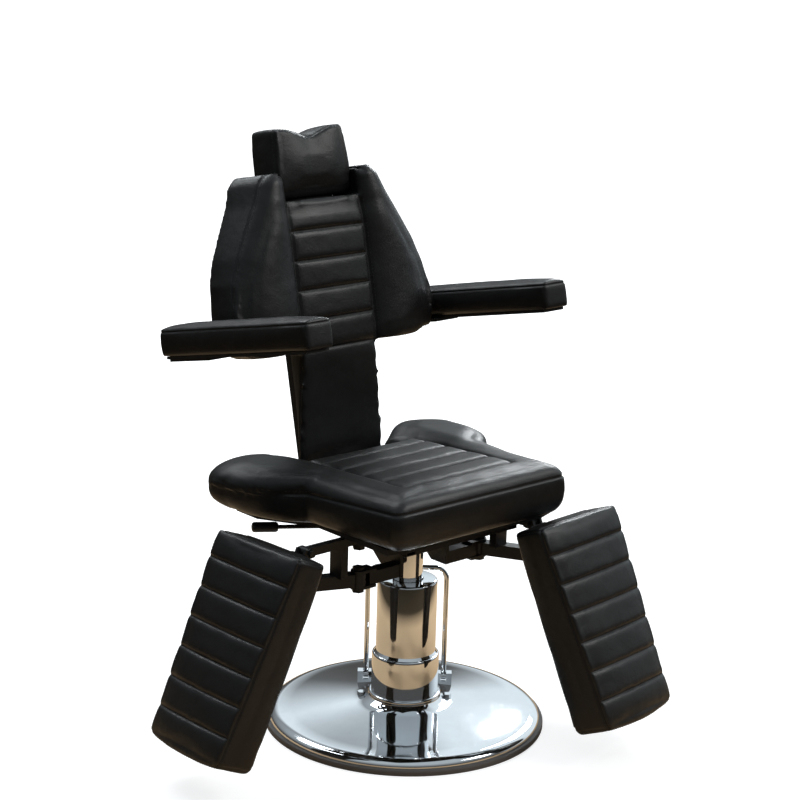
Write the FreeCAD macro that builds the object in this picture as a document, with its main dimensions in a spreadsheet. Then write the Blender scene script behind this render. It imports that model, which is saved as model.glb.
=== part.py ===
import FreeCAD, Part
import math
import os
import Sketcher
from FreeCAD import Placement, Rotation, Vector

# Tattoo chair with a hydraulic lift and two separate leg rests.
# Millimetres. The sitter faces -Y, +X is on the right as seen from the front, +Z is up.
# The origin is the centre of the foot plate's underside, on the floor.

os.makedirs("parts", exist_ok=True)
doc = FreeCAD.newDocument("TattooChair")
sheet = doc.addObject("Spreadsheet::Sheet", "Sizes")

SIZES = [
    # foot and column
    ("base_radius", 300, "outside of the rubber edge"),
    ("edge_height", 12, "rubber edge"),
    ("edge_width", 14, "rubber edge, inwards"),
    ("edge_round", 4, "rounding of the rubber edge"),
    ("plate_height", 10, "foot plate"),
    ("dish_overhang", 8, "the rubber edge shows this much outside the dish"),
    ("dish_lip", 3, "upright lip at the dish's edge"),
    ("dish_shoulder", 24, "width of the dish's round shoulder"),
    ("dish_shoulder_rise", 13, "height of that shoulder"),
    ("dish_flare", 36, "width of the dish's flare round the column"),
    ("dish_flare_rise", 11, "height of that flare"),
    ("dish_wall", 2.5, "sheet of the dish"),
    ("dish_top", 57, "height of the dish round the column"),
    ("dish_flat", 78, "radius of the flat ring round the column"),
    ("dish_mouth", 58, "radius of the hole in the dish"),
    ("column_low_radius", 72, "column cover below its shoulder"),
    ("column_high_radius", 64, "column cover above its shoulder"),
    ("column_shoulder", 148, "height where the shoulder starts"),
    ("shoulder_height", 12, "height of the shoulder"),
    ("column_top", 319, "top of the column cover"),
    ("column_wall", 2.5, "sheet of the column cover"),
    ("lip_round", 5, "rounding at the top of the column cover"),
    ("collar_height", 10, "trim ring at the column's foot"),
    ("collar_width", 6, "trim ring, outwards"),
    ("ram_radius", 32, "lift ram"),
    ("ram_gap", 0.05, "running gap of the ram in its bush"),
    ("ram_foot", 60, "lower end of the ram at rest"),
    ("ram_chamfer", 3, "chamfer on the ram's ends"),
    ("cover_gap", 2, "gap between the ram and the column cover"),
    ("pump_wall", 9, "wall of the pump cylinder"),
    ("pump_bore_gap", 4, "free bore under the bush"),
    ("pump_top", 300, "top of the pump cylinder"),
    ("bush_length", 40, "guide bush at the top of the pump"),
    ("pump_flange", 100, "radius of the pump's foot flange"),
    ("flange_height", 14, "thickness of the pump's foot flange"),
    ("foot_bolt_reach", 92, "distance of the foot bolts from the centre"),
    ("foot_bolt_radius", 5, "shank of a foot bolt"),
    ("foot_bolt_head", 9, "corner radius of a foot bolt's hexagon head"),
    ("foot_bolt_stand", 7, "height of a foot bolt's head"),
    ("base_turn", -42, "degrees the foot is turned under the seat"),
    # pump pedal
    ("pedal_half", 85, "half the distance between the pedal's legs"),
    ("pedal_back", 90, "pedal legs behind the column's centre"),
    ("pedal_rod", 5.5, "radius of the pedal's rod"),
    ("pedal_eye", 7.5, "radius of the eyes at the pedal's feet"),
    ("pedal_top", 312, "height of the pedal's crossbar"),
    ("pedal_bend", 26, "bend of the pedal's corners"),
    ("pedal_pivot", 62, "height of the pedal's pivot"),
    ("pivot_pin", 4, "radius of the pedal's pin"),
    ("block_width", 36, "pivot block, sideways"),
    ("block_depth", 20, "pivot block, front to back"),
    ("block_over", 9, "pivot block above its pin"),
    ("block_slot_gap", 0.6, "gap beside the pedal's leg"),
    ("slot_under", 9, "slot below the pin"),
    # swivel saddle
    ("hub_wall", 10, "wall of the hub on the ram"),
    ("hub_foot", 385, "lower end of the hub"),
    ("saddle_top", 443, "top of the saddle plate"),
    ("saddle_plate", 12, "thickness of the saddle plate"),
    ("saddle_half", 75, "half the width of the saddle plate"),
    ("saddle_front", 75, "saddle plate in front of the centre"),
    ("saddle_rear", 105, "saddle plate behind the centre"),
    ("ram_seat_gap", 0.3, "gap between the ram's top and the plate"),
    ("cheek_reach", 69, "outside of a saddle cheek from the centre"),
    ("cheek_wall", 8, "thickness of a saddle cheek"),
    ("cheek_front", 52, "saddle cheek in front of the centre"),
    ("cheek_rear", 52, "saddle cheek behind the centre"),
    ("cheek_step", 5, "low part of the cheek ends this far before the centre"),
    ("cheek_slant", 50, "rise of the cheek's slanted edge"),
    # leg rest carriers
    ("leg_pivot_side", 171, "leg pivot, sideways"),
    ("leg_pivot_front", 37, "leg pivot in front of the centre"),
    ("beam", 28, "square tube of the beams and lower arms"),
    ("beam_height", 364, "centre height of the beams"),
    ("tube_wall", 2, "wall of square tubes"),
    ("beam_short", 20, "beam ends this far before the leg pivot"),
    ("ear_plate", 6, "thickness of fork plates"),
    ("ear_radius", 16, "rounded end of the fork plates"),
    ("eye_gap", 0.3, "gap above and below an eye"),
    ("pivot_bolt", 8, "radius of the leg pivot bolts"),
    ("pivot_gap", 0.05, "running gap round pins"),
    ("bolt_head", 13, "radius of the bolt heads"),
    ("bolt_head_height", 7, "height of the bolt heads"),
    ("bar_width", 18, "square upper bar of a leg carrier"),
    ("bar_drop", 16, "centre of the upper bars below the top of the seat frame"),
    ("bar_ear_radius", 14, "rounded end of the upper fork plates"),
    ("knee_reach", 140, "knee hinge from the leg pivot"),
    ("knee_boss", 10, "radius of the knee boss"),
    ("knee_pin", 5, "radius of the knee pin"),
    ("post_reach", 45, "centre of the post from the leg pivot"),
    ("arm_splay", 22, "degrees the lower arm points outward from the leg rest's middle line"),
    ("arm_root", 12, "arms start this far from the pivot's centre"),
    ("left_swing", 89.3, "degrees the left leg rest is swung out"),
    ("right_swing", 7, "degrees the right leg rest is swung out"),
    ("buffer_length", 10, "rubber stop"),
    ("buffer_radius", 9, "rubber stop"),
    # leg rests
    ("leg_lean", 23, "degrees a leg rest leans from upright"),
    ("leg_width", 256, "leg cushion at its top"),
    ("leg_taper", 36, "leg cushion is narrower at its lower end by this"),
    ("leg_length", 437, "leg cushion"),
    ("leg_thick", 84, "leg cushion at its top, without its board"),
    ("leg_swell", 19, "leg cushion is thicker at its lower end by this"),
    ("leg_drop", 7, "leg cushion's top below the knee, along the cushion"),
    ("leg_offset", 31, "leg cushion's centre outside its carrier"),
    ("leg_board", 10, "board behind the leg cushion"),
    ("leg_board_inset", 12, "board inside the leg cushion's outline"),
    ("strap", 6, "steel strap behind the leg board"),
    ("strap_width", 50, "steel strap, sideways"),
    ("strap_length", 330, "steel strap"),
    ("leg_channels", 7, "panels of a leg cushion"),
    ("leg_crown", 7, "crown of the leg cushion"),
    ("leg_bulge", 3, "bulge of the leg cushion's sides"),
    ("leg_tuck", 2, "the leg cushion's back is narrower by this, each side"),
    ("channel_depth", 3.5, "depth of a sewn channel"),
    ("channel_width", 9, "width of a sewn channel"),
    ("soft_gap", 0.3, "gap between a cushion and its board"),
    # seat
    ("frame_tube", 25, "square tube of the seat and back frames"),
    ("rail_half", 155, "outside of the side rails from the centre"),
    ("rail_front", 165, "front rail in front of the centre"),
    ("rail_rear", 247.5, "rear rail behind the centre"),
    ("cross_front", 50, "front cross rail in front of the centre"),
    ("cross_rear", 80, "rear cross rail behind the centre"),
    ("seat_low", 480, "underside of the seat cushion"),
    ("seat_seam", 560, "height of the seam round the seat's top, in front"),
    ("seat_half", 242, "half the seat's width in front"),
    ("seat_mid_half", 254, "half the seat's width at the crease"),
    ("seat_front", 231, "seat's front edge"),
    ("seat_crease", 35, "crease where an ear begins"),
    ("ear_half", 332, "half the width over the ears"),
    ("ear_middle", 205, "ear's widest place"),
    ("ear_rear", 306, "rear end of the ears"),
    ("ear_tip", 245, "ear's rear end from the middle"),
    ("neck_gate_half", 134, "half the gap between the ears"),
    ("neck_gate_front", 194, "front of the gap between the ears"),
    ("seat_corner", 26, "rounded front corners"),
    ("seat_crown", 26, "crown of the seat over its seam"),
    ("seat_fall", 3.6, "degrees the seat's top falls to the rear"),
    ("seat_panel_half", 150, "half the channelled panel's width"),
    ("seat_panel_front", 150, "panel's front edge"),
    ("seat_panel_pitch", 66, "distance between the panel's seams"),
    ("seat_board_inset", 14, "board inside the seat's outline"),
    # backrest
    ("back_lean", 12.6, "degrees the backrest leans"),
    ("hinge_back", 269, "back hinge behind the centre"),
    ("hinge_drop", 19, "back hinge below the seat frame's underside"),
    ("hinge_pin", 8, "radius of the back hinge pin"),
    ("hinge_boss", 16, "radius of the uprights' lower eyes"),
    ("hinge_tube", 14, "radius of the tube between the uprights"),
    ("hinge_gap", 0.5, "gap between the uprights and the brackets"),
    ("upright_reach", 45, "centre of an upright from the middle"),
    ("upright_top", 575, "uprights above the hinge"),
    ("back_board", 10, "board behind the back cushion"),
    ("back_thick", 90, "back cushion"),
    ("back_half", 265, "half the greatest width of the back"),
    ("panel_half", 100, "half the channelled centre panel"),
    ("wing_low", 341, "lower edge of the wings above the hinge"),
    ("wing_high", 720, "top of the wings above the hinge"),
    ("panel_high", 655, "top of the centre panel above the hinge"),
    ("wing_proud", 22, "wings stand out from the panel"),
    ("wing_flare", 30, "wings are wider at their back by up to this, each side"),
    ("back_seams", 63.3, "distance between the back panel's seams"),
    ("back_first_seam", 594, "highest seam above the hinge"),
    ("neck_low", 95, "lower end of the neck above the hinge"),
    ("neck_half", 121, "half the neck's width in front"),
    ("neck_tuck", 50, "neck is narrower at its back by this, each side"),
    ("neck_recess", 4, "top of the neck lies behind the panel's face"),
    ("neck_crown", 5, "crown of the neck"),
    ("back_board_inset", 16, "board inside the back's outline"),
    ("bracket_plate", 6, "hinge brackets on the seat frame"),
    # gas spring
    ("crank", 40, "back hinge to the gas spring's pin"),
    ("crank_angle", 32.5, "degrees of the crank behind straight down"),
    ("crank_plate", 5, "thickness of a crank plate"),
    ("crank_end", 9, "rounded end of a crank plate"),
    ("crank_pin", 4, "radius of the gas spring's pin"),
    ("head_thick", 8, "slotted head on the rod"),
    ("head_half", 12, "half the slotted head's length"),
    ("head_rise", 19, "half the slotted head's height"),
    ("slot_gap", 0.8, "play of the pin in its slot"),
    ("slot_half", 7.5, "half the height of the slot"),
    ("rod_radius", 5, "gas spring rod"),
    ("rod_inside", 115, "rod's inner end behind the centre"),
    ("cylinder_radius", 14, "gas spring cylinder"),
    ("cylinder_wall", 3, "wall of the gas spring cylinder"),
    ("cylinder_front", 50, "gas spring's front end"),
    ("cylinder_rear", 230, "gas spring's rear end"),
    ("clamp_plate", 6, "thickness of the gas spring's holders"),
    ("clamp_half", 22, "half the width of the gas spring's holders"),
    ("clamp_gap", 0.1, "fit of the gas spring in its holders"),
    ("front_clamp", 70, "front holder behind the centre"),
    # release lever
    ("lever_side", 56, "lever pivot, to the left"),
    ("lever_back", 96, "lever pivot behind the centre"),
    ("lever_height", 421, "height of the lever pivot"),
    ("lever_sweep", 27.3, "degrees the lever is swept back"),
    ("lever_rise", 2.3, "degrees the lever rises"),
    ("lever_reach", 232, "pivot to the knob's end"),
    ("lever_rod", 4.5, "radius of the lever's rod"),
    ("lever_eye", 7, "radius of the lever's eye"),
    ("lever_eye_half", 4.7, "half the length of the lever's eye"),
    ("lever_pin", 3, "radius of the lever's pin"),
    ("lever_ear", 4, "thickness of the lever's fork plates"),
    ("lever_ear_half", 8, "half the length of the lever's fork plates"),
    ("knob_radius", 11, "lever knob"),
    ("knob_length", 56, "lever knob"),
    ("knob_bore", 20, "rod's length inside the knob"),
    ("knob_round", 5, "rounding of the knob's ends"),
    # arms
    ("arm_axis", 397, "arm axis above the back hinge"),
    ("axle_radius", 11, "cross tube that carries the arms"),
    ("axle_wall", 2.5, "wall of the cross tube"),
    ("arm_inner", 289, "inner side of an arm pad"),
    ("arm_width", 72, "arm pad"),
    ("arm_height", 63, "arm pad"),
    ("arm_under", 29, "arm pad's underside below its axis"),
    ("arm_front", 453, "arm pad in front of its axis"),
    ("arm_rear", 44, "arm pad behind its axis"),
    ("arm_crown", 5, "crown of the arm pad"),
    ("arm_board", 6, "board under the arm pad"),
    ("arm_board_inset", 7, "board inside the arm pad's outline"),
    ("arm_bracket", 6, "thickness of the arm bracket"),
    ("arm_bracket_disc", 20, "radius of the bracket round the axle"),
    ("arm_bracket_front", 110, "bracket's foot in front of the axis"),
    ("arm_bracket_rear", 30, "bracket's foot behind the axis"),
    ("arm_side_gap", 2.5, "gap between bracket and pad"),
    ("cap_radius", 14, "cap on the cross tube's end"),
    ("cap_gap", 0.3, "gap beside the cap"),
    ("cap_plug", 12, "cap's plug inside the tube"),
    ("axle_collar", 6, "collar inside the arm bracket"),
    ("axle_collar_radius", 16, "radius of that collar"),
    # headrest
    ("head_low", 662, "headrest's lower edge above the back hinge"),
    ("head_high", 812, "headrest's top above the back hinge"),
    ("head_low_half", 97, "half the headrest's width below"),
    ("head_top_half", 88, "half the headrest's width above"),
    ("head_deep", 85, "headrest cushion, front to back"),
    ("head_recess", 18, "headrest lies behind the back's face"),
    ("head_notch", 20, "dip in the middle of the headrest's top"),
    ("head_board", 10, "board behind the headrest"),
    ("head_board_inset", 12, "board inside the headrest's outline"),
    ("head_bulge", 6, "bulge of the headrest's sides"),
    ("slide_width", 40, "headrest bar"),
    ("slide_thick", 8, "headrest bar"),
    ("slide_low", 500, "bar's lower end above the back hinge"),
    ("slide_high", 780, "bar's upper end above the back hinge"),
    ("slide_gap", 0.3, "gap between the bar and its socket"),
    ("socket_wall", 5, "wall of the headrest socket"),
    ("socket_low", 505, "socket's lower end above the back hinge"),
    ("socket_high", 590, "socket's upper end above the back hinge"),
    ("clamp_knob", 17, "radius of the headrest's clamp knob"),
    ("clamp_knob_deep", 18, "clamp knob"),
    ("clamp_screw", 4, "radius of the clamp screw"),
    ("clamp_neck", 10, "screw between knob and socket"),
    ("overrun", 1, "cuts run past by this"),
]

for row, (name, value, note) in enumerate(SIZES, 1):
    sheet.set("A%d" % row, name)
    sheet.set("B%d" % row, str(value))
    sheet.set("C%d" % row, note)
    sheet.setAlias("B%d" % row, name)
doc.recompute()


class Size(float):
    """A length that remembers the formula it comes from."""

    def __new__(cls, value, formula):
        made = float.__new__(cls, value)
        made.formula = formula
        return made

    @staticmethod
    def text(other):
        return other.formula if isinstance(other, Size) else repr(float(other))

    def __add__(self, other):
        return Size(float(self) + float(other), "(%s + %s)" % (self.formula, Size.text(other)))

    def __radd__(self, other):
        return Size(float(other) + float(self), "(%s + %s)" % (Size.text(other), self.formula))

    def __sub__(self, other):
        return Size(float(self) - float(other), "(%s - %s)" % (self.formula, Size.text(other)))

    def __rsub__(self, other):
        return Size(float(other) - float(self), "(%s - %s)" % (Size.text(other), self.formula))

    def __mul__(self, other):
        return Size(float(self) * float(other), "(%s * %s)" % (self.formula, Size.text(other)))

    def __rmul__(self, other):
        return Size(float(other) * float(self), "(%s * %s)" % (Size.text(other), self.formula))

    def __truediv__(self, other):
        return Size(float(self) / float(other), "(%s / %s)" % (self.formula, Size.text(other)))

    def __neg__(self):
        return Size(-float(self), "(-%s)" % self.formula)


class Table:
    """The sheet's sizes by name."""


S = Table()
for name, value, note in SIZES:
    setattr(S, name, Size(float(sheet.get(name)), "Sizes.%s" % name))

# levels that hang on the seat frame
bar_level = S.saddle_top + S.frame_tube - S.bar_drop
hinge_level = S.saddle_top - S.hinge_drop

PARTS = []


def keep(item, label, placement=None):
    """Names a finished piece and sets where it stands."""
    item.Label = label
    if placement is not None:
        item.Placement = placement
    PARTS.append(item)
    return item


def bind(item, **sizes):
    """Ties properties of an object to their formulas."""
    for prop, value in sizes.items():
        if isinstance(value, Size):
            item.setExpression(prop, value.formula)
        else:
            setattr(item, prop, value)


def stand(item, x, y, z, turn=None):
    """Puts a simple solid at a place, tied to the sizes, with an optional turn."""
    item.Placement = Placement(Vector(x, y, z), turn or Rotation())
    for axis, value in (("x", x), ("y", y), ("z", z)):
        if isinstance(value, Size):
            item.setExpression(".Placement.Base.%s" % axis, value.formula)
    return item


def block(name, x, y, z):
    """Box between two sizes on each axis."""
    item = doc.addObject("Part::Box", name)
    bind(item, Length=x[1] - x[0], Width=y[1] - y[0], Height=z[1] - z[0])
    return stand(item, x[0], y[0], z[0])


def rod(name, radius, length, x, y, z, turn=None):
    """Cylinder from a foot point; it rises along Z before its turn."""
    item = doc.addObject("Part::Cylinder", name)
    bind(item, Radius=radius, Height=length)
    return stand(item, x, y, z, turn)


def hexagon(name, radius, length, x, y, z, turn=None):
    """Bolt head or nut: a hexagon of a corner radius that rises along Z before its turn."""
    item = doc.addObject("Part::Prism", name)
    item.Polygon = 6
    bind(item, Circumradius=radius, Height=length)
    return stand(item, x, y, z, turn)


ALONG_X = Rotation(Vector(0, 1, 0), 90)
ALONG_Y = Rotation(Vector(1, 0, 0), -90)


def joined(name, *solids):
    item = doc.addObject("Part::MultiFuse", name)
    item.Shapes = list(solids)
    item.Refine = True
    return item


def without(name, solid, *tools):
    tool = tools[0] if len(tools) == 1 else joined(name + "Tools", *tools)
    item = doc.addObject("Part::Cut", name)
    item.Base = solid
    item.Tool = tool
    item.Refine = True
    return item


def tube_box(name, x, y, z, open_axis, wall):
    """Square tube between two sizes on each axis, open along one axis."""
    spans = {"x": x, "y": y, "z": z}
    inner = {}
    for axis, span in spans.items():
        if axis == open_axis:
            inner[axis] = (span[0] - S.overrun, span[1] + S.overrun)
        else:
            inner[axis] = (span[0] + wall, span[1] - wall)
    outer = block(name + "Outer", x, y, z)
    bore = block(name + "Bore", inner["x"], inner["y"], inner["z"])
    return without(name, outer, bore)


def plane(body, role):
    for feature in body.Origin.OriginFeatures:
        if feature.Role == role:
            return feature
    raise ValueError(role)


def sketch(body, name, role, corners):
    """Closed outline on a body's plane.

    A corner is (across, up), or (across, up, mid_across, mid_up) where the side
    that ends in it is an arc through the middle point.
    """
    item = body.newObject("Sketcher::SketchObject", name)
    item.AttachmentSupport = (plane(body, role), [""])
    item.MapMode = "FlatFace"
    count = len(corners)
    for index, corner in enumerate(corners):
        before = corners[index - 1]
        start = Vector(before[0], before[1], 0)
        end = Vector(corner[0], corner[1], 0)
        if len(corner) == 4:
            middle = Vector(corner[2], corner[3], 0)
            arc = Part.Arc(start, middle, end)
            item.addGeometry(arc, False)
        else:
            item.addGeometry(Part.LineSegment(start, end), False)
    ends = []
    for index, corner in enumerate(corners):
        end = Vector(corner[0], corner[1], 0)
        first = item.getPoint(index, 1)
        ends.append(2 if (item.getPoint(index, 2) - end).Length <= (first - end).Length else 1)
    for index in range(count):
        after = (index + 1) % count
        item.addConstraint(Sketcher.Constraint("Coincident", index, ends[index], after, 3 - ends[after]))
    for index, corner in enumerate(corners):
        for kind, value, axis in (("DistanceX", corner[0], -2), ("DistanceY", corner[1], -1)):
            if float(value) == 0.0:
                item.addConstraint(Sketcher.Constraint("PointOnObject", index, ends[index], axis))
                continue
            if value > 0:
                rule = Sketcher.Constraint(kind, -1, 1, index, ends[index], float(value))
                formula = Size.text(value)
            else:
                rule = Sketcher.Constraint(kind, index, ends[index], -1, 1, -float(value))
                formula = "-(%s)" % Size.text(value)
            number = item.addConstraint(rule)
            if isinstance(value, Size):
                item.setExpression("Constraints[%d]" % number, formula)
    return item


def turned(name, corners):
    """Solid of revolution about Z from an outline of radii and heights.

    A rounded corner is turned as two cones that meet at its middle point.
    """
    straight = []
    for corner in corners:
        if len(corner) == 4:
            straight.append(corner[2:])
        straight.append(corner[:2])
    body = doc.addObject("PartDesign::Body", name)
    outline = sketch(body, name + "Outline", "XZ_Plane", straight)
    spin = body.newObject("PartDesign::Revolution", name + "Spin")
    spin.Profile = outline
    spin.ReferenceAxis = (outline, ["V_Axis"])
    spin.Angle = 360
    outline.Visibility = False
    return body


def padded(name, role, corners, length):
    """Plate from an outline; it grows along the plane's normal."""
    body = doc.addObject("PartDesign::Body", name)
    outline = sketch(body, name + "Outline", role, corners)
    pad = body.newObject("PartDesign::Pad", name + "Pad")
    pad.Profile = outline
    bind(pad, Length=length)
    outline.Visibility = False
    return body


def loop(edges):
    """Closed wire from edges of two points (line) or three points (arc)."""
    made = []
    for edge in edges:
        if len(edge) == 2:
            made.append(Part.LineSegment(edge[0], edge[1]).toShape())
        else:
            made.append(Part.Arc(edge[0], edge[1], edge[2]).toShape())
    return Part.Wire(made)


def soft(name, shape):
    """Cushion solid made from lofted sections."""
    item = doc.addObject("Part::Feature", name)
    item.Shape = shape
    return item


# Foot: plate, rubber edge, dish, collar, column, pump, bolts and pivot blocks

foot_place = Placement(Vector(0, 0, 0), Rotation(Vector(0, 0, 1), float(S.base_turn)))
plate_radius = S.base_radius - S.edge_width - S.soft_gap
base_plate = turned("BasePlate", [
    (0, 0),
    (plate_radius, 0),
    (plate_radius, S.plate_height),
    (0, S.plate_height),
])
keep(base_plate, "base_plate", foot_place)

edge_inner = S.base_radius - S.edge_width
edge_turn_share = 0.3
base_edge = turned("BaseEdge", [
    (edge_inner, 0),
    (S.base_radius, 0),
    (S.base_radius, S.edge_height - S.edge_round),
    (S.base_radius - S.edge_round, S.edge_height,
     S.base_radius - edge_turn_share * S.edge_round, S.edge_height - edge_turn_share * S.edge_round),
    (edge_inner, S.edge_height),
])
keep(base_edge, "base_rubber_edge", foot_place)

dish_edge = S.base_radius - S.dish_overhang
dish_foot = S.edge_height + S.soft_gap
shoulder_foot = dish_foot + S.dish_lip
cone_foot = shoulder_foot + S.dish_shoulder_rise
cone_head = S.dish_top - S.dish_flare_rise
roll_share = 0.29
# round shoulder at the dish's edge and flare at its middle: shares of the width inwards and of the rise
shoulder_shares = ((0.0, 0.0), (0.1, 0.36), (0.3, 0.68), (0.6, 0.9), (1.0, 1.0))
flare_shares = ((0.0, 0.0), (0.36, 0.2), (0.66, 0.5), (0.86, 0.8), (1.0, 1.0))
dish_outer = [(dish_edge, dish_foot)]
for inward, up in shoulder_shares:
    dish_outer.append((dish_edge - S.dish_shoulder * inward, shoulder_foot + S.dish_shoulder_rise * up))
for inward, up in flare_shares:
    dish_outer.append((S.dish_flat + S.dish_flare - S.dish_flare * inward,
                       cone_head + S.dish_flare_rise * up))
dish_inner = [
    (S.dish_mouth, S.dish_top),
    (S.dish_mouth, S.dish_top - S.dish_wall),
    (S.dish_flat - S.dish_wall, S.dish_top - S.dish_wall),
    (S.dish_flat + S.dish_flare, cone_head - S.dish_wall),
    (dish_edge - S.dish_shoulder, cone_foot - S.dish_wall),
    (dish_edge - S.dish_wall, shoulder_foot),
    (dish_edge - S.dish_wall, dish_foot),
]
dish = turned("Dish", dish_outer + dish_inner)
under_dish = turned("UnderDish", [(0, 0), (dish_edge, 0)] + dish_outer + [(0, S.dish_top)])


def dish_height(reach):
    """Height of the dish's top at a distance from the centre."""
    for (far, low), (near, high) in zip(dish_outer[1:], dish_outer[2:]):
        if near <= reach <= far:
            return low + (high - low) * ((far - reach) / (far - near))
    return S.dish_top


bolt_hole = S.foot_bolt_radius + S.soft_gap
dish_holes = [
    rod("DishHole%d" % side, bolt_hole, S.dish_top, side * S.foot_bolt_reach, 0, S.plate_height)
    for side in (-1, 1)
]
keep(without("DishCut", dish, *dish_holes), "base_dish", foot_place)

lip_share = 0.29
column_in_low = S.column_low_radius - S.column_wall
column_in_high = S.column_high_radius - S.column_wall
shoulder_top = S.column_shoulder + S.shoulder_height
column = turned("Column", [
    (S.column_low_radius, S.dish_top),
    (S.column_low_radius, S.column_shoulder),
    (S.column_high_radius, shoulder_top),
    (S.column_high_radius, S.column_top - S.lip_round),
    (S.column_high_radius - S.lip_round, S.column_top,
     S.column_high_radius - lip_share * S.lip_round, S.column_top - lip_share * S.lip_round),
    (S.ram_radius + S.cover_gap, S.column_top),
    (S.ram_radius + S.cover_gap, S.column_top - S.column_wall),
    (column_in_high - S.column_wall, S.column_top - S.column_wall),
    (column_in_high, S.column_top - 2 * S.column_wall),
    (column_in_high, shoulder_top),
    (column_in_low, S.column_shoulder),
    (column_in_low, S.dish_top),
])
keep(column, "column_cover", foot_place)

collar_in = S.column_low_radius + S.soft_gap
collar_across_share = 0.8
collar_up_share = 0.82
collar = turned("Collar", [
    (collar_in, S.dish_top),
    (collar_in + S.collar_width - S.soft_gap, S.dish_top),
    (collar_in + S.collar_width - S.soft_gap, S.dish_top + S.collar_height / 2),
    (collar_in + S.collar_width / 3, S.dish_top + S.collar_height,
     collar_in + S.collar_width * collar_across_share, S.dish_top + S.collar_height * collar_up_share),
    (collar_in, S.dish_top + S.collar_height),
])
keep(collar, "column_collar", foot_place)

bore = S.ram_radius + S.ram_gap
free_bore = S.ram_radius + S.pump_bore_gap
pump_radius = S.ram_radius + S.pump_wall + S.pump_bore_gap
pump = turned("Pump", [
    (0, S.plate_height),
    (S.pump_flange, S.plate_height),
    (S.pump_flange, S.plate_height + S.flange_height),
    (pump_radius, S.plate_height + S.flange_height),
    (pump_radius, S.pump_top),
    (bore, S.pump_top),
    (bore, S.pump_top - S.bush_length),
    (free_bore, S.pump_top - S.bush_length - S.pump_bore_gap),
    (free_bore, S.plate_height + S.flange_height),
    (0, S.plate_height + S.flange_height),
])
flange_holes = [
    rod("FlangeHole%d" % side, bolt_hole, S.flange_height + 2 * S.overrun,
        side * S.foot_bolt_reach, 0, S.plate_height - S.overrun)
    for side in (-1, 1)
]
keep(without("PumpCut", pump, *flange_holes), "pump_body", foot_place)

bolt_level = dish_height(S.foot_bolt_reach)
bolt_solids = []
for side in (-1, 1):
    head = hexagon("FootHead%d" % side, S.foot_bolt_head, 2 * S.foot_bolt_stand,
                   side * S.foot_bolt_reach, 0, bolt_level - S.foot_bolt_stand)
    cut_head = without("FootHeadCut%d" % side, head, under_dish)
    shank = rod("FootShank%d" % side, S.foot_bolt_radius, bolt_level + S.foot_bolt_stand / 2 - S.plate_height,
                side * S.foot_bolt_reach, 0, S.plate_height)
    bolt_solids.append(joined("FootBolt%d" % side, cut_head, shank))
keep(joined("FootBolts", *bolt_solids), "foot_bolts", foot_place)

block_floor = dish_height(S.pedal_half + S.pedal_back)
leg_slot = S.pedal_rod + S.block_slot_gap
block_solids = []
for side in (-1, 1):
    middle = side * S.pedal_half
    shape = block("Pivot%d" % side,
                  (middle - S.block_width / 2, middle + S.block_width / 2),
                  (S.pedal_back - S.block_depth / 2, S.pedal_back + S.block_depth / 2),
                  (block_floor, S.pedal_pivot + S.block_over))
    slot = block("PivotSlot%d" % side,
                 (middle - leg_slot, middle + leg_slot),
                 (S.pedal_back - S.block_depth, S.pedal_back + S.block_depth),
                 (S.pedal_pivot - S.slot_under, S.pedal_pivot + S.block_over + S.overrun))
    pin_hole = rod("PivotBore%d" % side, S.pivot_pin + S.pivot_gap, S.block_width + 2 * S.overrun,
                   middle - S.block_width / 2 - S.overrun, S.pedal_back, S.pedal_pivot, ALONG_X)
    block_solids.append(without("PivotBlock%d" % side, shape, slot, pin_hole, under_dish))
keep(joined("PivotBlocks", *block_solids), "pedal_pivot_blocks", foot_place)

# Pump pedal: a bail of round rod on two pins

pedal_solids = []
leg_height = S.pedal_top - S.pedal_bend - S.pedal_pivot
for side in (-1, 1):
    pedal_solids.append(rod("PedalLeg%d" % side, S.pedal_rod, leg_height,
                            side * S.pedal_half, S.pedal_back, S.pedal_pivot))
    pedal_solids.append(rod("PedalEye%d" % side, S.pedal_eye, 2 * S.pedal_rod,
                            side * S.pedal_half - S.pedal_rod, S.pedal_back, S.pedal_pivot, ALONG_X))
    pedal_solids.append(rod("PedalPin%d" % side, S.pivot_pin, S.block_width,
                            side * S.pedal_half - S.block_width / 2, S.pedal_back, S.pedal_pivot, ALONG_X))
    corner = doc.addObject("Part::Torus", "PedalCorner%d" % side)
    bind(corner, Radius1=S.pedal_bend, Radius2=S.pedal_rod)
    corner.Angle3 = 90
    upright = Rotation(Vector(1, 0, 0), 90)
    turn = upright if side > 0 else Rotation(Vector(0, 0, 1), 180) * upright
    stand(corner, side * (S.pedal_half - S.pedal_bend), S.pedal_back, S.pedal_top - S.pedal_bend, turn)
    pedal_solids.append(corner)
cross_half = S.pedal_half - S.pedal_bend
pedal_solids.append(rod("PedalBar", S.pedal_rod, 2 * cross_half, -cross_half, S.pedal_back, S.pedal_top,
                        ALONG_X))
keep(joined("Pedal", *pedal_solids), "pump_pedal", foot_place)

# Lift ram

ram_top = S.saddle_top - S.saddle_plate - S.ram_seat_gap
ram = turned("Ram", [
    (0, S.ram_foot),
    (S.ram_radius - S.ram_chamfer, S.ram_foot),
    (S.ram_radius, S.ram_foot + S.ram_chamfer),
    (S.ram_radius, ram_top - S.ram_chamfer),
    (S.ram_radius - S.ram_chamfer, ram_top),
    (0, ram_top),
])
keep(ram, "lift_ram")

# Swivel saddle: hub, top plate, two cheeks and the half beams with their forks

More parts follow.
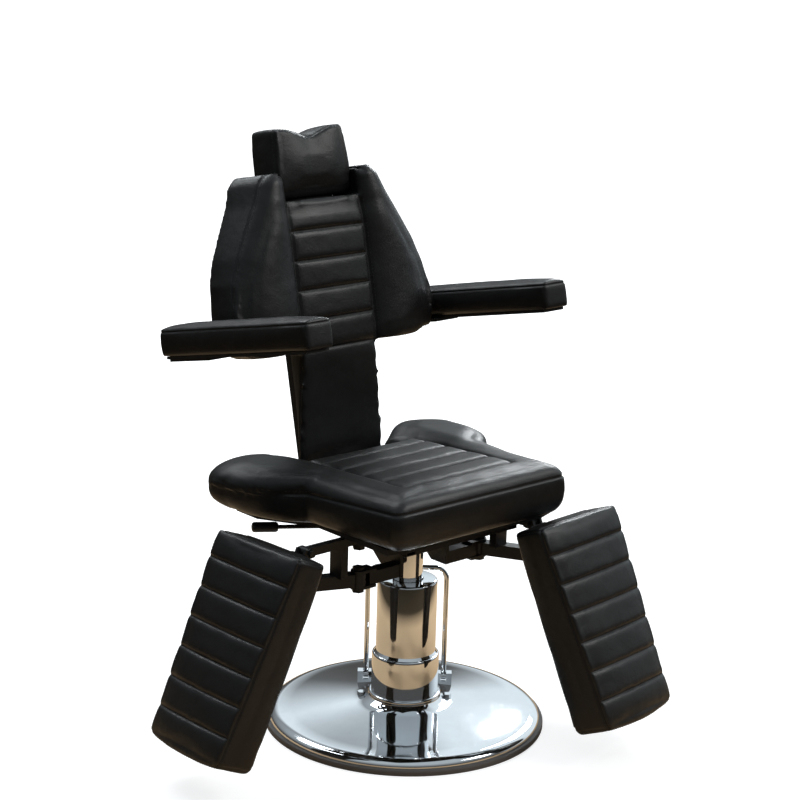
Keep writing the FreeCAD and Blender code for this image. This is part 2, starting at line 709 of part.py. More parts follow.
plate_low = S.saddle_top - S.saddle_plate
hub_radius = S.ram_radius + S.hub_wall
hub = turned("Hub", [
    (bore, S.hub_foot),
    (hub_radius, S.hub_foot),
    (hub_radius, plate_low),
    (bore, plate_low),
])
saddle_solids = [
    hub,
    block("SaddlePlate", (-S.saddle_half, S.saddle_half), (-S.saddle_front, S.saddle_rear),
          (plate_low, S.saddle_top)),
]
beam_low = S.beam_height - S.beam / 2
beam_high = S.beam_height + S.beam / 2
for side in (-1, 1):
    cheek = padded("Cheek%d" % side, "YZ_Plane", [
        (-S.cheek_front, plate_low),
        (-S.cheek_front, beam_low),
        (-S.cheek_step, beam_low),
        (S.cheek_rear, beam_low + S.cheek_slant),
        (S.cheek_rear, plate_low),
    ], S.cheek_wall)
    stand(cheek, S.cheek_reach - S.cheek_wall if side > 0 else -S.cheek_reach, 0, 0)
    saddle_solids.append(cheek)
    near = S.cheek_reach
    far = S.leg_pivot_side - S.beam_short
    span = (near, far) if side > 0 else (-far, -near)
    depth = (-S.leg_pivot_front - S.beam / 2, -S.leg_pivot_front + S.beam / 2)
    saddle_solids.append(tube_box("Beam%d" % side, span, depth, (beam_low, beam_high), "x", S.tube_wall))
    for level, low in (("Top", beam_high), ("Low", beam_low - S.ear_plate)):
        root = S.leg_pivot_side - S.beam_short - S.ear_radius
        reach = (root, S.leg_pivot_side) if side > 0 else (-S.leg_pivot_side, -root)
        saddle_solids.append(block("Fork%s%d" % (level, side), reach,
                                   (-S.leg_pivot_front - S.ear_radius, -S.leg_pivot_front + S.ear_radius),
                                   (low, low + S.ear_plate)))
        saddle_solids.append(rod("ForkEnd%s%d" % (level, side), S.ear_radius, S.ear_plate,
                                 side * S.leg_pivot_side, -S.leg_pivot_front, low))

crank_low = S.crank * math.cos(math.radians(S.crank_angle))
spring_drop = (crank_low + S.crank) / 2
spring_height = hinge_level - spring_drop
front_clamp = block("FrontClamp", (-S.clamp_half, S.clamp_half),
                    (S.front_clamp, S.front_clamp + S.clamp_plate),
                    (spring_height - S.clamp_half, plate_low))
saddle_solids.append(front_clamp)

lever_turn = Rotation(Vector(0, 0, 1), 180 - float(S.lever_sweep))
lever_place = Placement(Vector(-S.lever_side, S.lever_back, S.lever_height), lever_turn)


def at_lever(item):
    """Moves a solid drawn round the lever's pivot to its place."""
    item.Placement = lever_place.multiply(item.Placement)
    return item


def plain_block(name, x, y, z):
    """Box whose place is set later, by a frame it belongs to."""
    item = doc.addObject("Part::Box", name)
    bind(item, Length=x[1] - x[0], Width=y[1] - y[0], Height=z[1] - z[0])
    item.Placement = Placement(Vector(x[0], y[0], z[0]), Rotation())
    return item


def plain_rod(name, radius, length, x, y, z, turn=None):
    """Cylinder whose place is set later, by a frame it belongs to."""
    item = doc.addObject("Part::Cylinder", name)
    bind(item, Radius=radius, Height=length)
    item.Placement = Placement(Vector(x, y, z), turn or Rotation())
    return item


ear_in = S.lever_eye_half + S.soft_gap
for side in (-1, 1):
    near = ear_in if side > 0 else -(ear_in + S.lever_ear)
    saddle_solids.append(at_lever(plain_block("LeverEar%d" % side,
                                              (-S.lever_ear_half, S.lever_ear_half),
                                              (near, near + S.lever_ear),
                                              (-S.lever_ear_half, plate_low - S.lever_height))))
lever_pin_half = ear_in + S.lever_ear
saddle_solids.append(at_lever(plain_rod("LeverPin", S.lever_pin, 2 * lever_pin_half,
                                        0, -lever_pin_half, 0, ALONG_Y)))
pin_hole = S.pivot_bolt + S.pivot_gap
saddle_cuts = [
    rod("ForkBore%d" % side, pin_hole, S.beam + 2 * S.ear_plate + 2 * S.overrun,
        side * S.leg_pivot_side, -S.leg_pivot_front, beam_low - S.ear_plate - S.overrun)
    for side in (-1, 1)
]
saddle_cuts.append(rod("ClampBoreFront", S.cylinder_radius + S.clamp_gap, S.clamp_plate + 2 * S.overrun,
                       0, S.front_clamp - S.overrun, spring_height, ALONG_Y))
keep(without("Saddle", joined("SaddleBody", *saddle_solids), *saddle_cuts), "swivel_saddle")

# Seat frame with its forks, hinge brackets and rear gas spring holder

rail_low = S.saddle_top
rail_high = S.saddle_top + S.frame_tube
rail_levels = (rail_low, rail_high)
rail_in = S.rail_half - S.frame_tube
frame_solids = []
for side in (-1, 1):
    span = (rail_in, S.rail_half) if side > 0 else (-S.rail_half, -rail_in)
    frame_solids.append(tube_box("SideRail%d" % side, span, (-S.rail_front, S.rail_rear), rail_levels,
                                 "y", S.tube_wall))
for label, front in (("FrontRail", -S.rail_front), ("CrossFront", -S.cross_front - S.frame_tube),
                     ("CrossRear", S.cross_rear), ("RearRail", S.rail_rear - S.frame_tube)):
    frame_solids.append(tube_box(label, (-rail_in, rail_in), (front, front + S.frame_tube), rail_levels,
                                 "x", S.tube_wall))
bar_low = bar_level - S.bar_width / 2
bar_high = bar_level + S.bar_width / 2
for side in (-1, 1):
    for level, low, high in (("Top", bar_high, rail_high - S.overrun),
                             ("Low", bar_low - S.ear_plate, bar_low)):
        reach = (rail_in, S.leg_pivot_side) if side > 0 else (-S.leg_pivot_side, -rail_in)
        frame_solids.append(block("BarFork%s%d" % (level, side), reach,
                                  (-S.leg_pivot_front - S.bar_ear_radius,
                                   -S.leg_pivot_front + S.bar_ear_radius),
                                  (low, high)))
        frame_solids.append(rod("BarForkEnd%s%d" % (level, side), S.bar_ear_radius, high - low,
                                side * S.leg_pivot_side, -S.leg_pivot_front, low))
bracket_in = S.upright_reach + S.frame_tube / 2 + S.hinge_gap
for side in (-1, 1):
    bracket = padded("HingeBracket%d" % side, "YZ_Plane", [
        (S.rail_rear - S.frame_tube, rail_high),
        (S.rail_rear - S.frame_tube, rail_low),
        (S.hinge_back - S.hinge_boss, hinge_level),
        (S.hinge_back + S.hinge_boss, hinge_level, S.hinge_back, hinge_level - S.hinge_boss),
        (S.rail_rear, rail_high),
    ], S.bracket_plate)
    stand(bracket, bracket_in if side > 0 else -(bracket_in + S.bracket_plate), 0, 0)
    frame_solids.append(bracket)
rear_clamp = S.rail_rear - S.frame_tube
frame_solids.append(block("RearClamp", (-S.clamp_half, S.clamp_half),
                          (rear_clamp, rear_clamp + S.clamp_plate),
                          (spring_height - S.clamp_half, rail_low)))
bracket_out = bracket_in + S.bracket_plate
frame_cuts = [
    rod("BarForkBore%d" % side, pin_hole, rail_high - bar_low + S.ear_plate + 2 * S.overrun,
        side * S.leg_pivot_side, -S.leg_pivot_front, bar_low - S.ear_plate - S.overrun)
    for side in (-1, 1)
]
frame_cuts.append(rod("HingeBore", S.hinge_pin + S.pivot_gap, 2 * bracket_out + 2 * S.overrun,
                      -bracket_out - S.overrun, S.hinge_back, hinge_level, ALONG_X))
frame_cuts.append(rod("ClampBoreRear", S.cylinder_radius + S.clamp_gap, S.clamp_plate + 2 * S.overrun,
                      0, rear_clamp - S.overrun, spring_height, ALONG_Y))
keep(without("SeatFrame", joined("SeatFrameBody", *frame_solids), *frame_cuts), "seat_frame")

# Bolts that the leg carriers turn on: two below, two above

bolt_list = []
for side in (-1, 1):
    for level, low, high in (("Low", beam_low - S.ear_plate, beam_high + S.ear_plate),
                             ("High", bar_low - S.ear_plate, rail_high - S.overrun - S.ear_plate)):
        x = side * S.leg_pivot_side
        shank_low = low - S.bolt_head_height
        shank_high = high
        pieces = [
            rod("Bolt%s%d" % (level, side), S.pivot_bolt, shank_high - shank_low, x, -S.leg_pivot_front,
                shank_low),
            hexagon("BoltNut%s%d" % (level, side), S.bolt_head, S.bolt_head_height - S.soft_gap,
                    x, -S.leg_pivot_front, shank_low),
        ]
        if level == "Low":
            pieces.append(hexagon("BoltHead%d" % side, S.bolt_head, S.bolt_head_height,
                                  x, -S.leg_pivot_front, high))
        bolt_list.append(joined("PivotBolt%s%d" % (level, side), *pieces))
keep(joined("PivotBolts", *bolt_list), "leg_pivot_bolts")

# Back hinge pin

pin_half = bracket_out + S.soft_gap
hinge_pin = joined(
    "HingePinBody",
    rod("HingeShaft", S.hinge_pin, 2 * pin_half + 2 * S.ear_plate, -pin_half - S.ear_plate,
        S.hinge_back, hinge_level, ALONG_X),
    hexagon("HingeHeadLeft", S.bolt_head, S.ear_plate, -pin_half - S.ear_plate,
            S.hinge_back, hinge_level, ALONG_X),
    hexagon("HingeHeadRight", S.bolt_head, S.ear_plate, pin_half, S.hinge_back, hinge_level, ALONG_X),
)
keep(hinge_pin, "back_hinge_pin")

# Gas spring: cylinder fixed under the seat, rod with a slotted head for the crank's pin

cylinder = turned("Cylinder", [
    (0, 0),
    (S.cylinder_radius, 0),
    (S.cylinder_radius, S.cylinder_rear - S.cylinder_front),
    (S.rod_radius + S.pivot_gap, S.cylinder_rear - S.cylinder_front),
    (S.rod_radius + S.pivot_gap, S.cylinder_rear - S.cylinder_front - S.bolt_head),
    (S.cylinder_radius - S.cylinder_wall, S.cylinder_rear - S.cylinder_front - S.bolt_head),
    (S.cylinder_radius - S.cylinder_wall, S.cylinder_wall),
    (0, S.cylinder_wall),
])
keep(cylinder, "gas_spring_cylinder", Placement(Vector(0, S.cylinder_front, spring_height), ALONG_Y))

crank_back = S.crank * math.sin(math.radians(S.crank_angle))
pin_back = S.hinge_back + crank_back
head_front = pin_back - S.head_half
rod_body = joined(
    "RodBody",
    rod("GasRod", S.rod_radius, head_front - S.rod_inside + S.overrun, 0, S.rod_inside, spring_height,
        ALONG_Y),
    block("RodHead", (-S.head_thick / 2, S.head_thick / 2), (head_front, pin_back + S.head_half),
          (spring_height - S.head_rise, spring_height + S.head_rise)),
)
slot_side = S.crank_pin + S.slot_gap
rod_slot = block("RodSlot", (-S.head_thick, S.head_thick), (pin_back - slot_side, pin_back + slot_side),
                 (spring_height - S.slot_half - S.slot_gap, spring_height + S.slot_half + S.slot_gap))
keep(without("GasRodCut", rod_body, rod_slot), "gas_spring_rod")

# Release lever and its knob

rise = Rotation(Vector(0, 1, 0), 90 - float(S.lever_rise))
lever_length = S.lever_reach - S.knob_length + S.knob_bore
lever_shaft = plain_rod("LeverShaft", S.lever_rod, lever_length, 0, 0, 0, rise)
lever_eye = plain_rod("LeverEye", S.lever_eye, 2 * S.lever_eye_half, 0, -S.lever_eye_half, 0, ALONG_Y)
lever_bore = plain_rod("LeverBore", S.lever_pin + S.pivot_gap, 2 * S.lever_eye_half + 2 * S.overrun,
                       0, -S.lever_eye_half - S.overrun, 0, ALONG_Y)
lever = without("Lever", joined("LeverBody", lever_shaft, lever_eye), lever_bore)
keep(lever, "release_lever", lever_place)

knob_in = S.lever_rod + S.pivot_gap
knob_start = S.lever_reach - S.knob_length
knob = turned("Knob", [
    (knob_in, knob_start),
    (S.knob_radius - S.knob_round, knob_start),
    (S.knob_radius, knob_start + S.knob_round,
     S.knob_radius - roll_share * S.knob_round, knob_start + roll_share * S.knob_round),
    (S.knob_radius, S.lever_reach - S.knob_round),
    (S.knob_radius - S.knob_round, S.lever_reach,
     S.knob_radius - roll_share * S.knob_round, S.lever_reach - roll_share * S.knob_round),
    (0, S.lever_reach),
    (0, knob_start + S.knob_bore + S.soft_gap),
    (knob_in, knob_start + S.knob_bore + S.soft_gap),
])
keep(knob, "lever_knob", lever_place.multiply(Placement(Vector(0, 0, 0), rise)))

# Seat board and cushion

seat_middle = -(S.seat_front - S.neck_gate_front) / 2
inset = S.seat_board_inset
board_right = [
    (S.seat_half - inset, -S.seat_front + 3 * inset),
    (S.seat_mid_half - 2 * inset, S.seat_crease),
    (S.ear_half - 3 * inset, S.ear_middle - 4 * inset),
    (S.ear_half - 3 * inset, S.ear_middle + inset),
    (S.ear_tip, S.ear_rear - 2 * inset),
    (S.neck_gate_half + 2 * inset, S.ear_rear - 4 * inset),
    (S.neck_gate_half + inset, S.neck_gate_front - inset),
]
board_left = [(-x, y) for x, y in reversed(board_right)]
seat_board = padded("SeatBoard", "XY_Plane",
                    [(-S.seat_half + 4 * inset, -S.seat_front + 2 * inset),
                     (S.seat_half - 4 * inset, -S.seat_front + 2 * inset)] + board_right + board_left,
                    S.seat_low - rail_high - S.soft_gap)
keep(seat_board, "seat_board", Placement(Vector(0, 0, rail_high), Rotation()))

corner_share = 0.29
flank_share = 0.45
ear_front_share = (0.72, 0.38)
ear_back_share = (0.24, 0.8)
ear_inner_share = 0.55


def seat_outline(share, level, fall, middle):
    """Plan of the seat shrunk about its middle, on a plane that falls to the rear."""
    def at(x, y):
        px = x * share
        py = middle + (y - middle) * share
        return Vector(px, py, level - (py + float(S.seat_front)) * math.tan(math.radians(fall)))

    half, mid, wide = float(S.seat_half), float(S.seat_mid_half), float(S.ear_half)
    front, crease = -float(S.seat_front), float(S.seat_crease)
    corner, rear, tip = float(S.seat_corner), float(S.ear_rear), float(S.ear_tip)
    gate_front, broad = float(S.neck_gate_front), float(S.ear_middle)
    # the gap between the ears gets wider where the plan shrinks
    gate = float(S.neck_gate_half) * (2 - share) / share
    right = [
        (at(half - corner, front),
         at(half - corner_share * corner, front + corner_share * corner),
         at(half, front + corner)),
        (at(half, front + corner),
         at(half + (mid - half) * flank_share, (front + crease) / 2),
         at(mid, crease)),
        (at(mid, crease),
         at(mid + (wide - mid) * ear_front_share[0], crease + (broad - crease) * ear_front_share[1]),
         at(wide, broad)),
        (at(wide, broad),
         at(wide - (wide - tip) * ear_back_share[0], broad + (rear - broad) * ear_back_share[1]),
         at(tip, rear)),
        (at(tip, rear),
         at(tip - (tip - gate) * ear_inner_share, rear - (rear - gate_front) * ear_back_share[0]),
         at(gate, (rear + gate_front) / 2)),
        (at(gate, (rear + gate_front) / 2), at(gate, gate_front)),
    ]

    def flip(point):
        return Vector(-point.x, point.y, point.z)

    left = [tuple(flip(p) for p in reversed(edge)) for edge in reversed(right)]
    edges = [(left[-1][-1], right[0][0])] + right + [(right[-1][-1], left[0][0])] + left
    return loop(edges)


# each level: height share of the side or crown, plan share, fall share
seat_side_shares = ((0.0, 0.93, 0.0), (0.12, 0.965, 0.1), (0.3, 0.99, 0.3), (0.6, 1.0, 0.6),
                    (0.85, 0.995, 0.85))
seat_crown_shares = ((0.0, 0.985), (0.35, 0.965), (0.65, 0.935), (0.88, 0.895), (1.0, 0.84))
side_height = S.seat_seam - S.seat_low
seat_loops = [
    seat_outline(plan, float(S.seat_low) + float(side_height) * up, float(S.seat_fall) * fall,
                 float(seat_middle))
    for up, plan, fall in seat_side_shares
]
seat_loops += [
    seat_outline(plan, float(S.seat_seam) + float(S.seat_crown) * up, float(S.seat_fall), float(seat_middle))
    for up, plan in seat_crown_shares
]
seat_body = Part.makeLoft(seat_loops, True, True)


def groove(start, end, up, width, depth):
    """Wedge that cuts a sewn channel from one point to another, open along up."""
    along = end - start
    side = up.cross(along)
    side.normalize()
    side = side * (width / 2)
    lift = up * depth
    corners = [start - up * depth, start + side + lift, start - side + lift]
    face = Part.Face(Part.makePolygon(corners + [corners[0]]))
    return face.extrude(along)


fall_turn = Rotation(Vector(1, 0, 0), -float(S.seat_fall))
seat_up = fall_turn.multVec(Vector(0, 0, 1))
panel_rows = 4
fall_rate = math.tan(math.radians(float(S.seat_fall)))


def on_seat(x, y):
    """Point on the flat of the seat's crown."""
    level = float(S.seat_seam) + float(S.seat_crown)
    return Vector(x, y, level - (y + float(S.seat_front)) * fall_rate)


panel_rear = -S.seat_panel_front + panel_rows * S.seat_panel_pitch
seat_cuts = []
for row in range(panel_rows + 1):
    y = float(-S.seat_panel_front + row * S.seat_panel_pitch)
    seat_cuts.append(groove(on_seat(-float(S.seat_panel_half), y), on_seat(float(S.seat_panel_half), y),
                            seat_up,
                            float(S.channel_width), float(S.channel_depth)))
for side in (-1, 1):
    x = side * float(S.seat_panel_half)
    seat_cuts.append(groove(on_seat(x, -float(S.seat_panel_front)), on_seat(x, float(panel_rear)), seat_up,
                            float(S.channel_width), float(S.channel_depth)))
seat_cushion = soft("SeatCushion", seat_body.cut(seat_cuts))
keep(seat_cushion, "seat_cushion")

# Backrest: all its pieces are drawn round the back hinge, front towards -Y, and lean with the back

back_place = Placement(Vector(0, S.hinge_back, hinge_level), Rotation(Vector(1, 0, 0), -float(S.back_lean)))
half_tube = S.frame_tube / 2
board_front = half_tube + S.back_board
face_front = board_front + S.back_thick


def in_back(local):
    """Placement of something drawn in the backrest's frame."""
    return back_place.multiply(local)


back_solids = []
for side in (-1, 1):
    near = S.upright_reach - half_tube
    far = S.upright_reach + half_tube
    span = (near, far) if side > 0 else (-far, -near)
    back_solids.append(tube_box("Upright%d" % side, span, (-half_tube, half_tube),
                                (S.hinge_pin, S.upright_top), "z", S.tube_wall))
    back_solids.append(rod("UprightEye%d" % side, S.hinge_boss, S.frame_tube, span[0], 0, 0, ALONG_X))
hinge_span = S.upright_reach - half_tube
back_solids.append(rod("HingeTube", S.hinge_tube, 2 * hinge_span, -hinge_span, 0, 0, ALONG_X))
bracket_outside = S.arm_inner - S.arm_side_gap
bracket_inside = bracket_outside - S.arm_bracket
axle_half = bracket_outside + S.soft_gap
back_solids.append(rod("Axle", S.axle_radius, 2 * axle_half, -axle_half, 0, S.arm_axis, ALONG_X))
for side in (-1, 1):
    collar_start = bracket_inside - S.soft_gap - S.axle_collar if side > 0 else -(bracket_inside - S.soft_gap)
    back_solids.append(rod("AxleCollar%d" % side, S.axle_collar_radius, S.axle_collar, collar_start, 0,
                           S.arm_axis, ALONG_X))
crank_in = S.head_thick / 2 + S.hinge_gap
crank_turn = Rotation(Vector(1, 0, 0), float(S.crank_angle) + float(S.back_lean))
for side in (-1, 1):
    x = crank_in if side > 0 else -(crank_in + S.crank_plate)
    web = doc.addObject("Part::Box", "CrankWeb%d" % side)
    bind(web, Length=S.crank_plate, Width=2 * S.crank_end, Height=S.crank)
    web.Placement = Placement(Vector(0, 0, 0), crank_turn).multiply(
        Placement(Vector(x, -S.crank_end, -S.crank), Rotation()))
    back_solids.append(web)
    tip = doc.addObject("Part::Cylinder", "CrankTip%d" % side)
    bind(tip, Radius=S.crank_end, Height=S.crank_plate)
    tip.Placement = Placement(Vector(0, 0, 0),
                              crank_turn).multiply(Placement(Vector(x, 0, -S.crank), ALONG_X))
    back_solids.append(tip)
crank_half = crank_in + S.crank_plate
spring_pin = doc.addObject("Part::Cylinder", "SpringPin")
bind(spring_pin, Radius=S.crank_pin, Height=2 * crank_half)
spring_pin.Placement = Placement(Vector(0, 0, 0), crank_turn).multiply(
    Placement(Vector(-crank_half, 0, -S.crank), ALONG_X))
back_solids.append(spring_pin)
# headrest socket between the uprights, on two short cross bars
bar_front = -(board_front - S.head_board) + S.slide_gap
head_back = face_front - S.head_recess - S.head_deep - S.head_board - S.soft_gap
slide_front = -head_back
slide_span = (slide_front, slide_front + S.slide_thick)
socket_half = S.slide_width / 2 + S.slide_gap + S.socket_wall
socket_depth = (slide_span[0] - S.slide_gap - S.socket_wall, slide_span[1] + S.slide_gap + S.socket_wall)
back_solids.append(block("Socket", (-socket_half, socket_half), socket_depth, (S.socket_low, S.socket_high)))
for label, low in (("Low", S.socket_low), ("High", S.upright_top - S.frame_tube)):
    back_solids.append(block("SocketBar%s" % label, (-hinge_span, hinge_span), (-half_tube, half_tube),
                             (low, low + S.frame_tube)))
back_cuts = [
    rod("HingeTubeBore", S.hinge_pin + S.pivot_gap, 2 * S.upright_reach + 2 * S.frame_tube,
        -S.upright_reach - S.frame_tube, 0, 0, ALONG_X),
    rod("AxleBore", S.axle_radius - S.axle_wall, 2 * axle_half + 2 * S.overrun, -axle_half - S.overrun, 0,
        S.arm_axis, ALONG_X),
    block("SlideWay", (-S.slide_width / 2 - S.slide_gap, S.slide_width / 2 + S.slide_gap),
          (slide_span[0] - S.slide_gap, slide_span[1] + S.slide_gap),
          (S.socket_low - S.overrun, S.socket_high + S.overrun)),
    rod("ClampScrewHole", S.clamp_screw + S.pivot_gap, S.frame_tube, 0, slide_span[1],
        (S.socket_low + S.socket_high) / 2, ALONG_Y),
]
back_frame = without("BackFrame", joined("BackFrameBody", *back_solids), *back_cuts)
keep(back_frame, "back_frame", back_place)

clamp_level = (S.socket_low + S.socket_high) / 2
screw_start = slide_span[1] + S.soft_gap
knob_back = socket_depth[1] + S.clamp_neck
clamp = joined(
    "ClampBody",
    rod("ClampScrew", S.clamp_screw, knob_back - screw_start + S.overrun, 0, screw_start, clamp_level,
        ALONG_Y),
    rod("ClampKnob", S.clamp_knob, S.clamp_knob_deep, 0, knob_back, clamp_level, ALONG_Y),
)
keep(clamp, "headrest_clamp_knob", back_place)

caps = []
for side in (-1, 1):
    plug_radius = S.axle_radius - S.axle_wall - S.pivot_gap
    cap_face = axle_half
    cap_thick = S.arm_side_gap - 2 * S.cap_gap - S.soft_gap
    start = cap_face if side > 0 else -(cap_face + cap_thick)
    plug = cap_face - S.cap_plug if side > 0 else -cap_face
    caps.append(joined("Cap%d" % side,
                       rod("CapDisc%d" % side, S.cap_radius, cap_thick, start, 0, S.arm_axis, ALONG_X),
                       rod("CapPlug%d" % side, plug_radius, S.cap_plug, plug, 0, S.arm_axis, ALONG_X)))
keep(joined("Caps", *caps), "arm_axle_caps", back_place)

# outline of the back: share of the wing's height, share of the half width
wing_shares = ((0.0, 0.85), (0.045, 0.955), (0.16, 0.995), (0.27, 1.0), (0.42, 0.972), (0.56, 0.895),
               (0.68, 0.80),
               (0.84, 0.672), (0.955, 0.60), (1.0, 0.555))
wing_depth_shares = (0.95, 0.99, 1.0, 1.0, 1.0, 1.0, 1.0, 0.985, 0.94, 0.84)
wing_flare_shares = (0.0, 0.0, 0.0, 0.1, 0.45, 0.6, 0.67, 0.83, 1.0, 0.8)
wing_span = S.wing_high - S.wing_low

inset = S.back_board_inset
notch_half = S.panel_half + S.hinge_gap
board_side = [
    (S.neck_half - S.neck_tuck - inset / 2, S.neck_low + inset),
    (S.neck_half - S.neck_tuck - inset / 2, S.wing_low + inset),
]
for up, across in wing_shares[1:-1]:
    board_side.append((S.back_half * across - inset, S.wing_low + inset / 2 + (wing_span - 2 * inset) * up))
board_side.append((notch_half + inset / 2, S.wing_high - 2 * inset))
board_side.append((notch_half + inset / 2, S.panel_high - inset))
board_other = [(-x, z) for x, z in reversed(board_side)]
back_board = padded("BackBoard", "XZ_Plane", board_side + board_other, S.back_board - S.soft_gap)
keep(back_board, "back_board", in_back(Placement(Vector(0, -half_tube, 0), Rotation())))

wing_side_share = 0.5
back_tuck_share = 0.03
wing_peak_share = 0.42


def back_section(up, half, depth_share, flare_share):
    """Section of the back cushion across its wings at one height."""
    back_y = -float(board_front)
    thick = float(S.back_thick) * depth_share
    seam = float(S.panel_half)
    face = back_y - thick
    proud = float(S.wing_proud) * depth_share
    flare = float(S.wing_flare) * flare_share
    tuck = half * back_tuck_share - flare
    near = min(seam, half - half * back_tuck_share - float(S.channel_width))

    def at(x, y):
        return Vector(x, y, up)

    peak = near + (half - near) * wing_peak_share
    right = [
        (at(half - tuck, back_y), at(half + flare / 2, back_y - thick * wing_side_share), at(half, face)),
        (at(half, face), at(peak, face - proud), at(near, face)),
    ]
    left = [tuple(Vector(-p.x, p.y, p.z) for p in reversed(edge)) for edge in reversed(right)]
    centre = (right[-1][-1], Vector(0, face - float(S.neck_crown) * depth_share, up), left[0][0])
    return loop(right + [centre] + left + [(left[-1][-1], right[0][0])])


back_loops = []
for (up, across), depth_share, flare_share in zip(wing_shares, wing_depth_shares, wing_flare_shares):
    back_loops.append(back_section(float(S.wing_low) + float(wing_span) * up, float(S.back_half) * across,
                                   depth_share, flare_share))
wide_back = Part.makeLoft(back_loops, True, True)
notch_width = 2 * float(notch_half)
notch = Part.makeBox(notch_width, 3 * float(face_front), float(wing_span),
                     Vector(-notch_width / 2, -2 * float(face_front), float(S.panel_high)))
back_cuts = [notch]
seam_count = 5
for row in range(seam_count):
    z = float(S.back_first_seam) - row * float(S.back_seams)
    face = -float(face_front) - float(S.neck_crown) / 2
    back_cuts.append(groove(Vector(-float(S.panel_half), face, z), Vector(float(S.panel_half), face, z),
                            Vector(0, -1, 0), float(S.channel_width), float(S.channel_depth)))
wide_back = wide_back.cut(back_cuts)

# neck: shares of its height, width and depth
neck_shares = ((0.0, 0.955, 0.50), (0.03, 0.978, 0.545), (0.08, 0.985, 0.57), (0.5, 0.925, 0.78),
               (0.85, 0.865, 0.96),
               (1.0, 0.843, 1.0))
neck_high = S.wing_low + 2 * S.channel_width


def neck_section(up, half, depth_share):
    back_y = -float(board_front)
    face = back_y - (float(S.back_thick) - float(S.neck_recess)) * depth_share
    narrow = float(S.neck_half) - float(S.neck_tuck)
    quarter = (back_y + face) / 2

    def at(x, y):
        return Vector(x, y, up)

    return loop([
        (at(-narrow, back_y), at(narrow, back_y)),
        (at(narrow, back_y), at((narrow + half) / 2 + float(S.neck_crown), quarter), at(half, face)),
        (at(half, face), at(0, face - float(S.neck_crown)), at(-half, face)),
        (at(-half, face), at(-(narrow + half) / 2 - float(S.neck_crown), quarter), at(-narrow, back_y)),
    ])


neck_body = Part.makeLoft([
    neck_section(float(S.neck_low) + (float(neck_high) - float(S.neck_low)) * up,
                 float(S.neck_half) * across, deep)
    for up, across, deep in neck_shares
], True, True)
back_cushion = soft("BackCushion", wide_back.fuse(neck_body))
keep(back_cushion, "back_cushion", back_place)

# Headrest: cushion, board and bar, in the backrest's frame

head_face = face_front - S.head_recess
head_span = S.head_high - S.head_low
# across the headrest: share of its half width, share of the notch, share of its depth
head_shares = ((-1.0, 0.16, 0.93), (-0.965, 0.05, 0.97), (-0.88, 0.0, 0.99), (-0.6, 0.14, 1.0),
               (-0.3, 0.55, 0.985),
               (-0.1, 0.92, 0.97), (0.1, 0.92, 0.97), (0.3, 0.55, 0.985), (0.6, 0.14, 1.0), (0.88, 0.0, 0.99),
               (0.965, 0.05, 0.97), (1.0, 0.16, 0.93))
head_waist_share = 0.45
head_under_share = 0.2
head_lift_share = 2


def head_section(across, dip, deep):
    """Upright section of the headrest at one place of its width."""
    back_y = -float(head_face) + float(S.head_deep)
    front_y = back_y - float(S.head_deep) * deep
    low = float(S.head_low) + float(S.head_bulge) * (1 - deep) * head_lift_share
    high = float(S.head_high) - float(S.head_notch) * dip

    low_half, top_half = float(S.head_low_half), float(S.head_top_half)

    def at(y, z):
        wide = low_half + (top_half - low_half) * (z - float(S.head_low)) / float(head_span)
        return Vector(across * wide, y, z)

    under = low + (high - low) * head_under_share
    under_y = front_y + float(S.head_deep) * head_under_share
    return loop([
        (at(back_y, low), at(under_y, low)),
        (at(under_y, low),
         at(front_y + float(S.head_deep) * head_under_share * roll_share,
            low + (under - low) * head_waist_share),
         at(front_y, under)),
        (at(front_y, under), at(front_y - float(S.head_bulge) / 2, (under + high) / 2), at(front_y, high)),
        (at(front_y, high), at((front_y + back_y) / 2, high + float(S.head_bulge) / 2), at(back_y, high)),
        (at(back_y, high), at(back_y, low)),
    ])


head_body = Part.makeLoft([head_section(*row) for row in head_shares], True, True)
keep(soft("HeadCushion", head_body), "headrest_cushion", back_place)

inset = S.head_board_inset
board_at = -(head_face - S.head_deep - S.soft_gap)
head_board = padded("HeadBoard", "XZ_Plane", [
    (-S.head_low_half + inset, S.head_low + inset),
    (S.head_low_half - inset, S.head_low + inset),
    (S.head_top_half - inset, S.head_high - S.head_notch - inset),
    (-S.head_top_half + inset, S.head_high - S.head_notch - inset),
], S.head_board)
keep(head_board, "headrest_board", in_back(Placement(Vector(0, board_at + S.head_board, 0), Rotation())))
head_bar = plain_block("HeadBar", (-S.slide_width / 2, S.slide_width / 2), slide_span,
                       (S.slide_low, S.slide_high))
keep(head_bar, "headrest_bar", in_back(head_bar.Placement))

# Arms: pad, board and bracket, in the backrest's frame

arm_end_shares = ((0.0, 0.92, 0.88), (0.008, 0.965, 0.95), (0.025, 0.99, 0.985), (0.06, 1.0, 1.0),
                  (0.94, 1.0, 1.0),
                  (0.975, 0.99, 0.985), (0.992, 0.965, 0.95), (1.0, 0.92, 0.88))
arm_half_share = 0.5
arm_lift_share = 0.4


